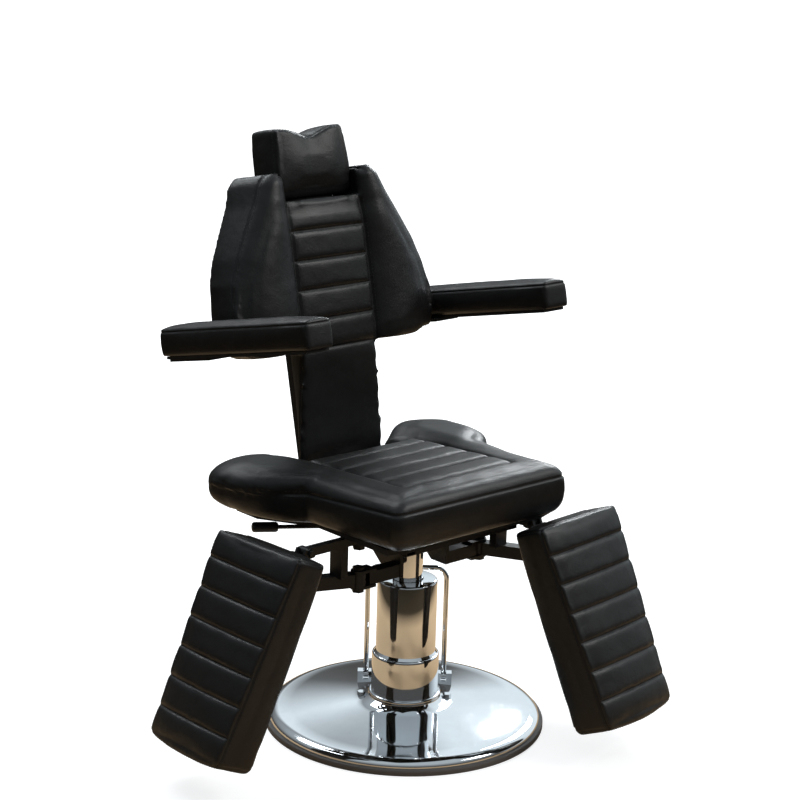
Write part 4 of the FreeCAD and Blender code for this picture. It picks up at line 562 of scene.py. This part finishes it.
@dataclass
class Cushion:
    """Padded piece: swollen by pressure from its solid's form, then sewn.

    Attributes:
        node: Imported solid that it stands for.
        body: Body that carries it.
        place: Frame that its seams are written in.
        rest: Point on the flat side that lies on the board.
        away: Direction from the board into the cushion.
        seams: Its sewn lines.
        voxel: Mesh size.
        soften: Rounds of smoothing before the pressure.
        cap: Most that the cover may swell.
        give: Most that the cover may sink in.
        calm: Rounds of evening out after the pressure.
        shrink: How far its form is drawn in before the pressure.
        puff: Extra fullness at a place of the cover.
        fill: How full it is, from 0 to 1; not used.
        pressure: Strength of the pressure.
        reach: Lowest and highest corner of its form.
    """

    node: str
    body: str
    place: Matrix
    rest: Vector
    away: Vector
    seams: list[Seam] = field(default_factory=list)
    voxel: float = 0.005
    soften: int = 2
    cap: float = 0.006
    give: float = 0.0006
    calm: int = 24
    shrink: float = 0.0003
    puff: Test | None = None
    fill: float = 0.85
    pressure: float = 4.0
    reach: tuple[numpy.ndarray, ...] = ()

    def build(self, wardrobe: Wardrobe) -> None:
        """Makes the cushion and its stitching.

        Args:
            wardrobe: Materials to use.
        """
        piece = self._start()
        self._swell(piece)
        stitches = self._sew(piece)
        wardrobe.dress_piece(piece, Stock.LEATHER, self.body)
        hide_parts(self.node)
        wardrobe.dress_piece(stitches, Stock.THREAD, self.body)
        LOG.info("sewed %s: %d faces", self.node, len(piece.data.polygons))

    def _height(self, place: Vector) -> float:
        """Height of a place above the flat side."""
        return (place - self.rest).dot(self.away)

    def _start(self) -> Piece:
        """Copies the solid's form into one even, softened mesh.

        Returns:
            Object in the cushion's own frame.
        """
        shape = bmesh.new()
        shape.from_mesh(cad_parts[self.node].data)
        bmesh.ops.remove_doubles(shape, verts=shape.verts, dist=0.00005)
        bmesh.ops.recalc_face_normals(shape, faces=shape.faces)
        shape.transform(self.place.inverted())
        piece = piece_from(self.node + "_cover", shape)
        corners = self._read(piece.data)
        self.reach = corners.min(axis=0), corners.max(axis=0)
        remesh = piece.modifiers.new("Even mesh", "REMESH")
        remesh.mode = "VOXEL"
        remesh.voxel_size = self.voxel
        remesh.use_smooth_shade = True
        settle(piece)
        shape = bmesh.new()
        shape.from_mesh(piece.data)
        level = {vert: vert.co.copy() for vert in shape.verts if self._height(vert.co) < self.voxel * 0.6}
        for _ in range(self.soften):
            bmesh.ops.smooth_vert(shape, verts=shape.verts, factor=0.5, use_axis_x=True, use_axis_y=True,
                                  use_axis_z=True)
        for vert, place in level.items():
            vert.co += self.away * (place - vert.co).dot(self.away)
        shape.normal_update()
        for vert in shape.verts:
            if vert not in level:
                vert.co -= vert.normal * self.shrink
        shape.to_mesh(piece.data)
        shape.free()
        return piece

    def _swell(self, piece: Piece) -> None:
        """Blows the cover up with cloth pressure and keeps it near its form.

        Args:
            piece: Cushion in its own frame.
        """
        held = piece.vertex_groups.new(name="held")
        flat = [vert.index for vert in piece.data.vertices if self._height(vert.co) < self.voxel * 1.1]
        held.add(flat, 1.0, "REPLACE")
        before, outward = self._read(piece.data), self._read(piece.data, "normal")
        cloth = piece.modifiers.new("Pressure", "CLOTH")
        for name, value in (("use_pressure", True), ("uniform_pressure_force", self.pressure),
                            ("vertex_group_mass", "held"), ("quality", 4), ("tension_stiffness", 25.0),
                            ("compression_stiffness", 25.0), ("bending_stiffness", 1.5)):
            setattr(cloth.settings, name, value)
        cloth.settings.effector_weights.gravity = 0.0
        cloth.collision_settings.use_collision = False
        cloth.point_cache.frame_start = 1
        cloth.point_cache.frame_end = CLOTH_STEPS
        for step in range(CLOTH_STEPS):
            bpy.context.scene.frame_set(step + 1)
        settle(piece)
        bpy.context.scene.frame_set(1)
        after = self._read(piece.data)
        moves = self._calmed(piece.data, after - before)
        inward = numpy.minimum((moves * outward).sum(axis=1) + self.give, 0.0)
        moves -= outward * inward[:, None]
        far = numpy.linalg.norm(moves, axis=1)
        moves *= numpy.minimum(1.0, self.cap / numpy.maximum(far, 1e-9))[:, None]
        placed = before + moves
        below = numpy.minimum((placed - numpy.array(self.rest)) @ numpy.array(self.away), 0.0)
        placed -= numpy.array(self.away)[None, :] * below[:, None]
        least, most = self.reach
        low, high = placed.min(axis=0), placed.max(axis=0)
        middle = (low + high) / 2
        stretch = numpy.maximum((most - least) / (high - low), 1.0)
        placed = (placed - middle) * stretch + numpy.where(stretch > 1.0, (least + most) / 2, middle)
        piece.data.vertices.foreach_set("co", placed.ravel())
        piece.data.update()

    @staticmethod
    def _read(mesh: bpy.types.Mesh, what: str = "co") -> numpy.ndarray:
        """Reads a value of every point.

        Args:
            mesh: Mesh to read.
            what: Name of the value.

        Returns:
            One row for each point.
        """
        values = numpy.empty(len(mesh.vertices) * 3)
        mesh.vertices.foreach_get(what, values)
        return values.reshape(-1, 3)

    def _calmed(self, mesh: bpy.types.Mesh, moves: numpy.ndarray) -> numpy.ndarray:
        """Evens out the cover's moves between neighbours, so that only broad folds stay.

        Args:
            mesh: Mesh that the moves belong to.
            moves: One move for each point.

        Returns:
            The evened moves.
        """
        ends = numpy.empty(len(mesh.edges) * 2, dtype=numpy.int64)
        mesh.edges.foreach_get("vertices", ends)
        one, other = ends[0::2], ends[1::2]
        count = len(mesh.vertices)
        links = numpy.maximum(numpy.bincount(one, minlength=count) + numpy.bincount(other, minlength=count), 1)
        for _ in range(self.calm):
            for axis in range(3):
                column = moves[:, axis]
                near = numpy.bincount(one, weights=column[other], minlength=count)
                near += numpy.bincount(other, weights=column[one], minlength=count)
                moves[:, axis] = 0.5 * column + 0.5 * near / links
        return moves

    def _sew(self, piece: Piece) -> Piece:
        """Draws the seams in, adds the fullness between them and the stitches along them.

        Args:
            piece: Cushion in its own frame.

        Returns:
            The stitching.
        """
        shape = bmesh.new()
        shape.from_mesh(piece.data)
        row = shape.edges.layers.int.new("row")
        # Seam mask: how near a seam each point lies. The leather uses it to paint shade into the seams and to roughen
        # them.
        layer = shape.verts.layers.float.new("seam")
        rows = self._cut_rows(shape, row)
        shape.normal_update()
        moves = {}
        for vert in shape.verts:
            depth, close = 0.0, 0.0
            for seam in self.seams:
                apart = abs(seam.distance(vert.co))
                if apart >= seam.reach:
                    continue
                share = seam.where(vert.co, vert.normal)
                if share <= 0.0:
                    continue
                pull = (1.0 - apart / seam.reach) ** 2 * (1.0 + GATHER_SHARE * noise.noise(vert.co * GATHERS))
                depth = max(depth, seam.depth * pull * share)
                close = max(close, share * max(0.0, 1.0 - apart / (seam.reach * 0.3)))
            lift = self.puff(vert.co, vert.normal) if self.puff else 0.0
            ripple = sum(noise.noise(vert.co * waves) * height for waves, height in RIPPLES)
            moves[vert] = lift + ripple - depth
            vert[layer] = close
        for vert, move in moves.items():
            if self._height(vert.co) > self.voxel * 0.5:
                vert.co += vert.normal * move
        shape.normal_update()
        stitches = self._stitch(shape, row, rows)
        shape.transform(self.place)
        for face in shape.faces:
            face.smooth = True
        shape.to_mesh(piece.data)
        shape.free()
        finer = piece.modifiers.new("Finer", "SUBSURF")
        finer.levels = 1
        finer.render_levels = 1
        settle(piece)
        return stitches

    def _cut_rows(self, shape: Shape, row: bmesh.types.BMLayerItem) -> int:
        """Adds edges along every seam, beside it, and where its stitches run.

        Args:
            shape: Cushion's mesh, cut in place.
            row: Edge layer that numbers the stitch rows.

        Returns:
            How many stitch rows there are.
        """
        number = 0
        for seam in self.seams:
            for offset in (0.0, -seam.reach * 0.45, seam.reach * 0.45, *seam.stitch_offsets):
                near = [face for face in shape.faces
                        if abs(seam.distance(face.calc_center_median()) - offset) < self.voxel * 2.0]
                items = set(near)
                for face in near:
                    items.update(face.edges)
                    items.update(face.verts)
                cut = bmesh.ops.bisect_plane(shape, geom=list(items), dist=0.00005,
                                             plane_co=seam.point + seam.across * offset, plane_no=seam.across)
                if offset in seam.stitch_offsets:
                    number += 1
                    for item in cut["geom_cut"]:
                        if isinstance(item, bmesh.types.BMEdge):
                            middle = (item.verts[0].co + item.verts[1].co) / 2
                            if seam.where(middle, item.verts[0].normal) > STITCH_SHOWS:
                                item[row] = number
        return number

    def _stitch(self, shape: Shape, row: bmesh.types.BMLayerItem, rows: int) -> Piece:
        """Lays thread stitches along the numbered rows of edges.

        Args:
            shape: Sewn cushion in its own frame.
            row: Edge layer that numbers the rows.
            rows: How many rows there are.

        Returns:
            The stitching.
        """
        thread = bmesh.new()
        for number in range(1, rows + 1):
            edges = {edge for edge in shape.edges if edge[row] == number}
            while edges:
                chain = self._chain(edges)
                spent = 0.0
                for start, end in zip(chain, chain[1:]):
                    length = (end.co - start.co).length
                    while spent < length:
                        share = spent / length
                        middle = start.co.lerp(end.co, share)
                        normal = start.normal.lerp(end.normal, share).normalized()
                        along = (end.co - start.co).normalized()
                        side = normal.cross(along).normalized()
                        turn = Matrix((along, side, normal)).transposed().to_4x4()
                        size = Matrix.Diagonal((STITCH_HALF, STITCH_THICK, STITCH_THICK, 1.0))
                        place = Matrix.Translation(middle + normal * STITCH_THICK * 0.5) @ turn @ size
                        bmesh.ops.create_uvsphere(thread, u_segments=6, v_segments=4, radius=1.0, matrix=place)
                        spent += STITCH_PITCH
                    spent -= length
        return piece_from(self.node + "_stitching", thread, self.place)

    @staticmethod
    def _chain(edges: set[bmesh.types.BMEdge]) -> list[bmesh.types.BMVert]:
        """Takes one unbroken run of edges out of a set.

        Args:
            edges: Edges left; the run is removed from it.

        Returns:
            The run's points in order.
        """
        first = min(edges, key=lambda edge: edge.index)
        edges.discard(first)
        chain = [first.verts[0], first.verts[1]]
        for _ in range(2):
            while onward := [edge for edge in chain[-1].link_edges if edge in edges]:
                edges.discard(onward[0])
                chain.append(onward[0].other_vert(chain[-1]))
            chain.reverse()
        return chain


@dataclass
class Seat:
    """Seat cushion with its channelled panel and the two ears behind.

    Attributes:
        half: Half the channelled panel's width.
        front: Panel's front edge.
        pitch: Distance between its cross seams.
        rows: How many channels it has.
        tail: How far its side seams run on behind the last cross seam.
        ear_rise: Extra fullness of the ears.
    """

    half: float = 0.150
    front: float = -0.150
    pitch: float = 0.066
    rows: int = 4
    tail: float = 0.05
    ear_rise: float = 0.012

    @property
    def rear(self) -> float:
        """Panel's last cross seam."""
        return self.front + self.rows * self.pitch

    def _on_top(self, normal: Vector) -> float:
        """How squarely a place faces up."""
        return ease(0.6, 0.85, normal.z)

    def _across(self, place: Vector, normal: Vector) -> float:
        """Shows the cross seams within the panel."""
        return (1.0 - ease(self.half - 0.001, self.half + 0.004, abs(place.x))) * self._on_top(normal)

    def _along(self, place: Vector, normal: Vector) -> float:
        """Shows the side seams from the panel's front to behind its last cross seam."""
        end = self.rear + self.tail
        return (ease(self.front - 0.006, self.front + 0.001, place.y) * (1.0 - ease(end - 0.001, end + 0.006, place.y))
                * self._on_top(normal))

    def _around(self, place: Vector, normal: Vector) -> float:
        """Shows the edge seam everywhere but on the ears."""
        return rim(normal.z, 0.75) * (1.0 - ease(0.05, 0.09, place.y) * ease(0.14, 0.16, abs(place.x)))

    def _fullness(self, place: Vector, normal: Vector) -> float:
        """Fills the channels and the ears.

        Args:
            place: Point of the cover.
            normal: Its normal.

        Returns:
            How far the cover rises there.
        """
        if abs(place.x) > self.half or not self.front < place.y < self.rear:
            ear = ease(self.half - 0.005, 0.2, abs(place.x)) * ease(-0.12, 0.1, place.y)
            return self.ear_rise * ear * ease(0.1, 0.9, normal.z)
        return CHANNEL_RISE * bulge(((place.y - self.front) / self.pitch) % 1.0) * self._on_top(normal)

    def cushion(self) -> Cushion:
        """Gives the seat cushion.

        Returns:
            Cushion with its seams, not yet built.
        """
        seams = [Seam(Vector((0.0, self.front + row * self.pitch, 0.58)), BACKWARDS, 0.010, 0.0042 if row else 0.0026,
                      self._across) for row in range(self.rows + 1)]
        seams += [Seam(Vector((side * self.half, 0.0, 0.58)), SIDEWAYS, 0.012, 0.0058, self._along, (side * 0.006,))
                  for side in (-1.0, 1.0)]
        fall = math.radians(3.6)
        seams.append(Seam(Vector((0.0, -0.231, 0.560)), Vector((0.0, math.sin(fall), math.cos(fall))), 0.009, 0.0030,
                          self._around, (-0.005, 0.005)))
        return Cushion("seat_cushion", "chair", WORLD_FRAME, Vector((0.0, 0.0, 0.480)), UP, seams, 0.006, cap=0.007,
                       puff=self._fullness)


@dataclass
class Backrest:
    """Back cushion: two wings, the ladder-seamed centre panel and the neck down to the seat.

    Attributes:
        half: Half the centre panel's width.
        first_seam: Highest cross seam above the hinge.
        pitch: Distance between the cross seams.
        rows: How many cross seams there are.
        low: Lower edge of the wings.
        high: Where the upright seams end.
    """

    half: float = 0.100
    first_seam: float = 0.594
    pitch: float = 0.0633
    rows: int = 5
    low: float = 0.341
    high: float = 0.655

    def _facing(self, normal: Vector) -> float:
        """How squarely a place faces the sitter."""
        return ease(0.45, 0.75, -normal.y)

    def _across(self, place: Vector, normal: Vector) -> float:
        """Shows the cross seams within the panel."""
        return (1.0 - ease(self.half - 0.002, self.half + 0.002, abs(place.x))) * self._facing(normal)

    def _upright(self, place: Vector, normal: Vector) -> float:
        """Shows the upright seams beside the panel."""
        inside = ease(self.low - 0.004, self.low + 0.006, place.z) * (1.0 - ease(self.high - 0.01, self.high, place.z))
        return inside * ease(0.2, 0.5, -normal.y)

    def _wing_edge(self, place: Vector, normal: Vector) -> float:
        """Shows the seam round each wing."""
        return ease(0.106, 0.116, abs(place.x)) * ease(self.low - 0.002, self.low + 0.003, place.z) * rim(-normal.y)

    def _neck_edge(self, place: Vector, normal: Vector) -> float:
        """Shows the seam beside the neck."""
        return (1.0 - ease(self.low - 0.012, self.low - 0.004, place.z)) * rim(-normal.y)

    def _fullness(self, place: Vector, normal: Vector) -> float:
        """Fills the channels, the panel's top and the wings' lower sides, and rounds the wings' inner corners.

        Args:
            place: Point of the cover.
            normal: Its normal.

        Returns:
            How far the cover rises there.
        """
        if abs(place.x) < self.half and place.z > self.high - 0.03:
            return 0.0048 * ease(0.65, 0.95, normal.z)
        if abs(place.x) > self.half:
            sideways = ease(0.3, 0.8, abs(normal.x)) * ease(0.2, 0.23, abs(place.x))
            lower = ease(self.low, self.low + 0.02, place.z) * (1.0 - ease(0.40, 0.52, place.z))
            inward = ease(0.15, 0.6, -normal.x * math.copysign(1.0, place.x))
            corner = inward * ease(0.15, 0.6, normal.z) * ease(0.66, 0.7, place.z)
            return 0.011 * sideways * lower - 0.008 * corner
        if not self.first_seam - (self.rows - 1) * self.pitch < place.z < self.high:
            return 0.0
        return CHANNEL_RISE * bulge(((place.z - self.first_seam) / self.pitch) % 1.0) * self._facing(normal)

    def cushion(self) -> Cushion:
        """Gives the back cushion.

        Returns:
            Cushion with its seams, not yet built.
        """
        seams = [Seam(Vector((0.0, -0.11, self.first_seam - row * self.pitch)), UP, 0.010, 0.0042, self._across)
                 for row in range(self.rows)]
        seams += [Seam(Vector((side * self.half, -0.11, 0.5)), SIDEWAYS, 0.012, 0.0050, self._upright,
                       (side * 0.006, side * -0.006)) for side in (-1.0, 1.0)]
        seams.append(Seam(Vector((0.0, -0.103, 0.5)), BACKWARDS, 0.009, 0.0026, self._wing_edge, (-0.005, 0.005)))
        slope = Vector((0.0, 0.9874, 0.158)).normalized()
        seams.append(Seam(Vector((0.0, -0.0655, 0.1166)), slope, 0.009, 0.0022, self._neck_edge, (0.005,)))
        return Cushion("back_cushion", "back", BACK_FRAME, Vector((0.0, -0.0225, 0.4)), FORWARDS, seams, 0.006,
                       cap=0.004, calm=60, puff=self._fullness)


@dataclass
class Headrest:
    """Small pillow with a dip in its top.

    Attributes:
        seam_depth: Place of its edge seam, in front of the back's frame.
    """

    seam_depth: float = -0.0875

    def _around(self, place: Vector, normal: Vector) -> float:
        """Shows the edge seam above the cushion's underside."""
        return rim(-normal.y, high=0.96) * ease(0.672, 0.684, place.z)

    def _fullness(self, place: Vector, normal: Vector) -> float:
        """Fills the pillow's sides."""
        return 0.007 * ease(0.3, 0.85, abs(normal.x))

    def cushion(self) -> Cushion:
        """Gives the headrest cushion with its seam."""
        seam = Seam(Vector((0.0, self.seam_depth, 0.74)), BACKWARDS, 0.008, 0.0026, self._around, (0.005,))
        return Cushion("headrest_cushion", "headrest", BACK_FRAME, Vector((0.0, -0.0095, 0.74)), FORWARDS, [seam],
                       calm=60, puff=self._fullness)


@dataclass
class Arm:
    """Padded arm with a seam round its top.

    Attributes:
        side: Which arm it is.
    """

    side: Side

    def _around(self, place: Vector, normal: Vector) -> float:
        """Shows the edge seam."""
        return rim(normal.z)

    def cushion(self) -> Cushion:
        """Gives the arm pad with its seam."""
        seam = Seam(Vector((0.0, 0.0, 0.4195)), UP, 0.007, 0.0022, self._around, (-0.0045,))
        return Cushion("arm_pad_" + self.side.word, "arm_" + self.side.word, BACK_FRAME, Vector((0.0, 0.0, 0.368)), UP,
                       [seam], cap=0.004, fill=0.9)


@dataclass
class LegRest:
    """Leg cushion sewn into seven rolls.

    Attributes:
        side: Which leg rest it is.
        length: Length of the cushion.
        rolls: How many rolls it is sewn into.
        top: Cushion's top edge, in the knee's frame.
        swell: How much thicker it is at its lower end.
        offset: Its middle's distance outside the knee's own middle.
        half: Half its width at its middle.
    """

    side: Side
    length: float = 0.437
    rolls: int = 7
    top: float = -0.007
    swell: float = 0.019
    offset: float = 0.031
    half: float = 0.119

    @property
    def pitch(self) -> float:
        """Distance between the seams of the rolls."""
        return self.length / self.rolls

    def _facing(self, place: Vector, normal: Vector) -> float:
        """How squarely a place faces out; shows the seams between the rolls."""
        return ease(0.45, 0.8, -normal.y)

    def _around(self, place: Vector, normal: Vector) -> float:
        """Shows the edge seam."""
        return rim(-normal.y, high=0.96)

    def _fullness(self, place: Vector, normal: Vector) -> float:
        """Fills the rolls, rounds the corners, slopes the top end and bows the lower one.

        Args:
            place: Point of the cover.
            normal: Its normal.

        Returns:
            How far the cover rises there.
        """
        rolled = 0.0019 * bulge(((self.top - place.z) / self.pitch) % 1.0) * self._facing(place, normal)
        across = (place.x - self.side.value * self.offset) / self.half
        corner = ease(0.2, 0.65, abs(normal.x)) * ease(0.2, 0.65, abs(normal.z))
        upper = -0.002 * (1.0 + across * self.side.value) * ease(0.3, 0.8, normal.z)
        lower = 0.009 * max(0.0, 1.0 - across ** 2) * ease(0.3, 0.8, -normal.z)
        return rolled + upper + lower - 0.005 * corner

    def cushion(self) -> Cushion:
        """Gives the leg cushion.

        Returns:
            Cushion with its channels and edge seam, not yet built.
        """
        seams = [Seam(Vector((0.0, -0.1, self.top - row * self.pitch)), UP, 0.008, 0.0028, self._facing)
                 for row in range(1, self.rolls)]
        slant = Vector((0.0, self.length, -self.swell)).normalized()
        seams.append(Seam(Vector((0.0, -0.0969, self.top)), slant, 0.008, 0.0024, self._around, (0.005,)))
        return Cushion("leg_cushion_" + self.side.word, "leg_rest_" + self.side.word, self.side.knee_frame,
                       Vector((0.0, -0.0266, 0.0)), FORWARDS, seams, cap=0.003, calm=90, puff=self._fullness)


def curve(start: tuple[float, float], end: tuple[float, float], rise: Callable[[float], float],
          steps: int = 12) -> list[tuple[float, float]]:
    """Gives points of a bent side between two corners of an outline.

    Args:
        start: Radius and height where it starts; this corner is left out.
        end: Radius and height where it ends.
        rise: Gives the share of the height that is reached at a share of the width.
        steps: How many points it has.

    Returns:
        Radius and height of each point.
    """
    wide, high = end[0] - start[0], end[1] - start[1]
    shares = [(step + 1) / steps for step in range(steps)]
    return [(start[0] + wide * share, start[1] + high * rise(share)) for share in shares]


def quarter(share: float) -> float:
    """Height share of a quarter round at a share of its width."""
    return math.sqrt(max(0.0, 1.0 - (1.0 - share) ** 2))


@dataclass(frozen=True)
class Turning:
    """Round chromed sheet piece, spun smoothly round the column's axis.

    Attributes:
        node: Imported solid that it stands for.
        body: Body that carries it.
        outline: Radius and height of each corner of its section, in metres.
    """

    node: str
    body: str
    outline: tuple[tuple[float, float], ...]

    def build(self, wardrobe: Wardrobe) -> None:
        """Spins the section.

        Args:
            wardrobe: Materials to use.
        """
        shape = bmesh.new()
        corners = [shape.verts.new((radius, 0.0, height)) for radius, height in self.outline]
        sides = [shape.edges.new((one, other)) for one, other in zip(corners, corners[1:] + corners[:1])]
        bmesh.ops.spin(shape, geom=corners + sides, cent=(0.0, 0.0, 0.0), axis=(0.0, 0.0, 1.0), angle=math.tau,
                       steps=128, use_merge=True)
        bmesh.ops.remove_doubles(shape, verts=shape.verts, dist=0.00002)
        bmesh.ops.recalc_face_normals(shape, faces=shape.faces)
        piece = piece_from(self.node + "_smooth", shape)
        piece.data.set_sharp_from_angle(angle=math.radians(32.0))
        wardrobe.dress_piece(piece, Stock.CHROME, self.body)
        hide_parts(self.node)

    @classmethod
    def dish(cls) -> "Turning":
        """Gives the foot's dish: lip, round shoulder, shallow cone and flare."""
        upper = [(0.292, 0.0123), (0.292, 0.0153)]
        upper += curve((0.292, 0.0153), (0.268, 0.0283), quarter)
        upper += curve((0.268, 0.0283), (0.114, 0.046), lambda share: share, 6)
        upper += curve((0.114, 0.046), (0.078, 0.057), lambda share: 0.38 * share + 0.62 * share ** 3)
        under = [(0.058, 0.057), (0.058, 0.0545), (0.0755, 0.0545), (0.114, 0.0435), (0.268, 0.0258),
                 (0.2895, 0.0153), (0.2895, 0.0123)]
        return cls("base_dish", "base", tuple(upper + under))

    @classmethod
    def cover(cls) -> "Turning":
        """Gives the column's cover with its shoulder and rolled top."""
        upper = [(0.072, 0.057), (0.072, 0.148)]
        upper += curve((0.072, 0.148), (0.068, 0.154), quarter, 6)
        upper += [(0.064, 0.160), (0.064, 0.314)]
        upper += curve((0.064, 0.314), (0.059, 0.319), quarter, 6)
        inner = [(0.034, 0.319), (0.034, 0.3165), (0.059, 0.3165), (0.0615, 0.314), (0.0615, 0.160),
                 (0.0695, 0.148), (0.0695, 0.057)]
        return cls("column_cover", "base", tuple(upper + inner))

    @classmethod
    def collar(cls) -> "Turning":
        """Gives the trim ring at the column's foot."""
        upper = [(0.078, 0.057), (0.078, 0.062)]
        upper += curve((0.078, 0.062), (0.0743, 0.067), quarter, 6)
        return cls("column_collar", "base", tuple(upper + [(0.0723, 0.067), (0.0723, 0.057)]))


def pair(*names: str) -> tuple[str, ...]:
    """Names of the left and the right node of each pair."""
    return tuple(f"{name}_{side.word}" for name in names for side in Side)


@dataclass
class Metalwork:
    """Frames, mechanism, column and foot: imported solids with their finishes."""

    finishes: dict[Stock, Sequence[str]] = field(default_factory=lambda: {
        Stock.CHROME: ("base_dish", "column_cover", "column_collar", "pedal_pivot_blocks", "pump_pedal", "lift_ram",
                       "foot_bolts"),
        Stock.PAINT: ("swivel_saddle", "seat_frame", "back_frame", "gas_spring_cylinder", "headrest_bar", "pump_body",
                      "base_plate", "leg_pivot_bolts", "release_lever",
                      *pair("arm_bracket", "leg_carrier", "leg_hinge_strap", "knee_pin")),
        Stock.BOARD: ("seat_board", "back_board", "headrest_board", *pair("arm_board", "leg_board")),
        Stock.STEEL: ("back_hinge_pin", "gas_spring_rod"),
        Stock.RUBBER: ("base_rubber_edge", *pair("leg_stop")),
        Stock.PLASTIC: ("lever_knob", "headrest_clamp_knob", "arm_axle_caps"),
    })

    def build(self, wardrobe: Wardrobe) -> None:
        """Dresses every rigid solid.

        Args:
            wardrobe: Materials to use.
        """
        for stock, nodes in self.finishes.items():
            for node in nodes:
                wardrobe.dress_node(node, stock)
        for turning in (Turning.dish(), Turning.cover(), Turning.collar()):
            turning.build(wardrobe)


@dataclass
class Studio:
    """Pale floor, soft lights and the camera at the photograph's angle.

    Attributes:
        eye: Place of the camera.
        gaze: Direction that it looks in.
        roll: Turn about its own axis.
        lens: Focal length for a 36 mm wide frame.
    """

    eye: Vector = field(default_factory=lambda: Vector((-2.8621, -3.1467, 1.8368)))
    gaze: Vector = field(default_factory=lambda: Vector((0.64588, 0.71913, -0.25631)))
    roll: float = math.radians(1.6)
    lens: float = 2119.2 / 800.0 * 36.0

    def build(self) -> None:
        """Sets up everything round the chair."""
        self._camera()
        self._floor()
        self._world()
        self._lamps()
        bpy.context.scene.view_settings.view_transform = "Standard"

    @staticmethod
    def _add(name: str, data: bpy.types.ID, place: Matrix) -> Piece:
        """Adds a camera or a lamp to the scene.

        Args:
            name: Its name.
            data: Its camera or light data.
            place: Where it stands and how it is turned.

        Returns:
            The new object.
        """
        made = bpy.data.objects.new(name, data)
        made.matrix_world = place
        bpy.context.scene.collection.objects.link(made)
        return made

    def _camera(self) -> None:
        """Adds the camera."""
        data = bpy.data.cameras.new("Camera")
        data.sensor_width = 36.0
        data.lens = self.lens
        data.clip_end = 100.0
        forward = self.gaze.normalized()
        right = forward.cross(UP).normalized()
        turn = Matrix((right, right.cross(forward), -forward)).transposed().to_4x4()
        place = Matrix.Translation(self.eye) @ turn @ Matrix.Rotation(self.roll, 4, "Z")
        bpy.context.scene.camera = self._add("Camera", data, place)

    def _lamps(self) -> None:
        """Adds the square soft lamps: name, place, target, side, watts and colour of each."""
        for name, place, target, size, power, colour in (
            ("Key", (2.4, -2.6, 3.7), (0.0, -0.1, 0.5), 1.9, 78.0, (1.0, 0.985, 0.96)),
            ("Top", (0.0, 2.4, 3.6), (0.0, 0.0, 0.4), 2.0, 80.0, (0.93, 0.97, 1.0)),
            ("Rear", (3.5, 1.9, 2.4), (0.0, 0.0, 0.5), 1.1, 74.0, (0.95, 0.98, 1.0)),
        ):
            data = bpy.data.lights.new(name, "AREA")
            data.size, data.energy, data.color = size, power, colour
            aim = (Vector(target) - Vector(place)).to_track_quat("-Z", "Y")
            self._add(name, data, Matrix.Translation(place) @ aim.to_matrix().to_4x4())

    def _floor(self) -> None:
        """Adds the floor: white to the camera with the chair's shadow, pale wood in the chrome."""
        shape = bmesh.new()
        bmesh.ops.create_grid(shape, x_segments=1, y_segments=1, size=40.0)
        floor = piece_from("Floor", shape, Matrix.Translation((0.0, 0.0, -0.0004)), smooth=False)
        material = bpy.data.materials.new("Pale floor")
        material.use_nodes = True
        graph = Graph(material.node_tree)
        seen = graph.put("ShaderNodeLightPath").outputs["Is Camera Ray"]
        away = graph.put("ShaderNodeVectorMath", {0: graph.put("ShaderNodeTexCoord").outputs["Object"]},
                         operation="LENGTH").outputs["Value"]
        wood = graph.mix(graph.ramp(away, 1.0, 1.6), (0.68, 0.47, 0.28), (0.06, 0.044, 0.028))
        glow = graph.plus(graph.times(graph.ramp(away, 1.2, 3.2), 0.4), 0.72)
        graph.feed(material.node_tree.nodes["Principled BSDF"], {
            "Base Color": graph.mix(seen, wood, (0.6, 0.6, 0.6)), "Roughness": 0.9, "Specular IOR Level": 0.0,
            "Emission Color": (1.0, 1.0, 1.0, 1.0), "Emission Strength": graph.times(seen, glow)})
        floor.data.materials.append(material)

    def _world(self) -> None:
        """Sets the world: white for the camera, a bright ceiling over dim walls for the chair."""
        world = bpy.data.worlds.new("Studio")
        bpy.context.scene.world = world
        world.use_nodes = True
        graph = Graph(world.node_tree)
        path = graph.put("ShaderNodeLightPath").outputs
        x, y, z = graph.put("ShaderNodeSeparateXYZ", {0: graph.put("ShaderNodeTexCoord").outputs["Generated"]}).outputs
        room = graph.mix(graph.ramp(z, 0.18, 0.75), (0.085, 0.083, 0.08), (0.42, 0.47, 0.5))
        behind = graph.plus(graph.times(x, 0.65), graph.times(y, 0.72))
        aside = graph.minus(graph.times(x, 0.45), graph.times(y, 0.4))
        rise = graph.ramp(graph.plus(z, aside), 0.2, 0.36)
        fall = graph.minus(1.0, graph.ramp(graph.minus(z, aside), 0.52, 0.64))
        window = graph.times(graph.times(rise, fall), graph.ramp(behind, -0.1, 0.6))
        mirrored = graph.mix(path["Is Glossy Ray"], room, graph.mix(window, room, (0.84, 0.93, 0.98)))
        graph.feed(world.node_tree.nodes["Background"],
                   {"Color": graph.mix(path["Is Camera Ray"], mirrored, (1.2, 1.2, 1.2))})


def main() -> None:
    """Builds the studio, the metalwork and the upholstery."""
    Studio().build()
    wardrobe = Wardrobe()
    Metalwork().build(wardrobe)
    for piece in (Seat(), Backrest(), Headrest(), *(kind(side) for side in Side for kind in (Arm, LegRest))):
        piece.cushion().build(wardrobe)


if __name__ == "__main__":
    main()
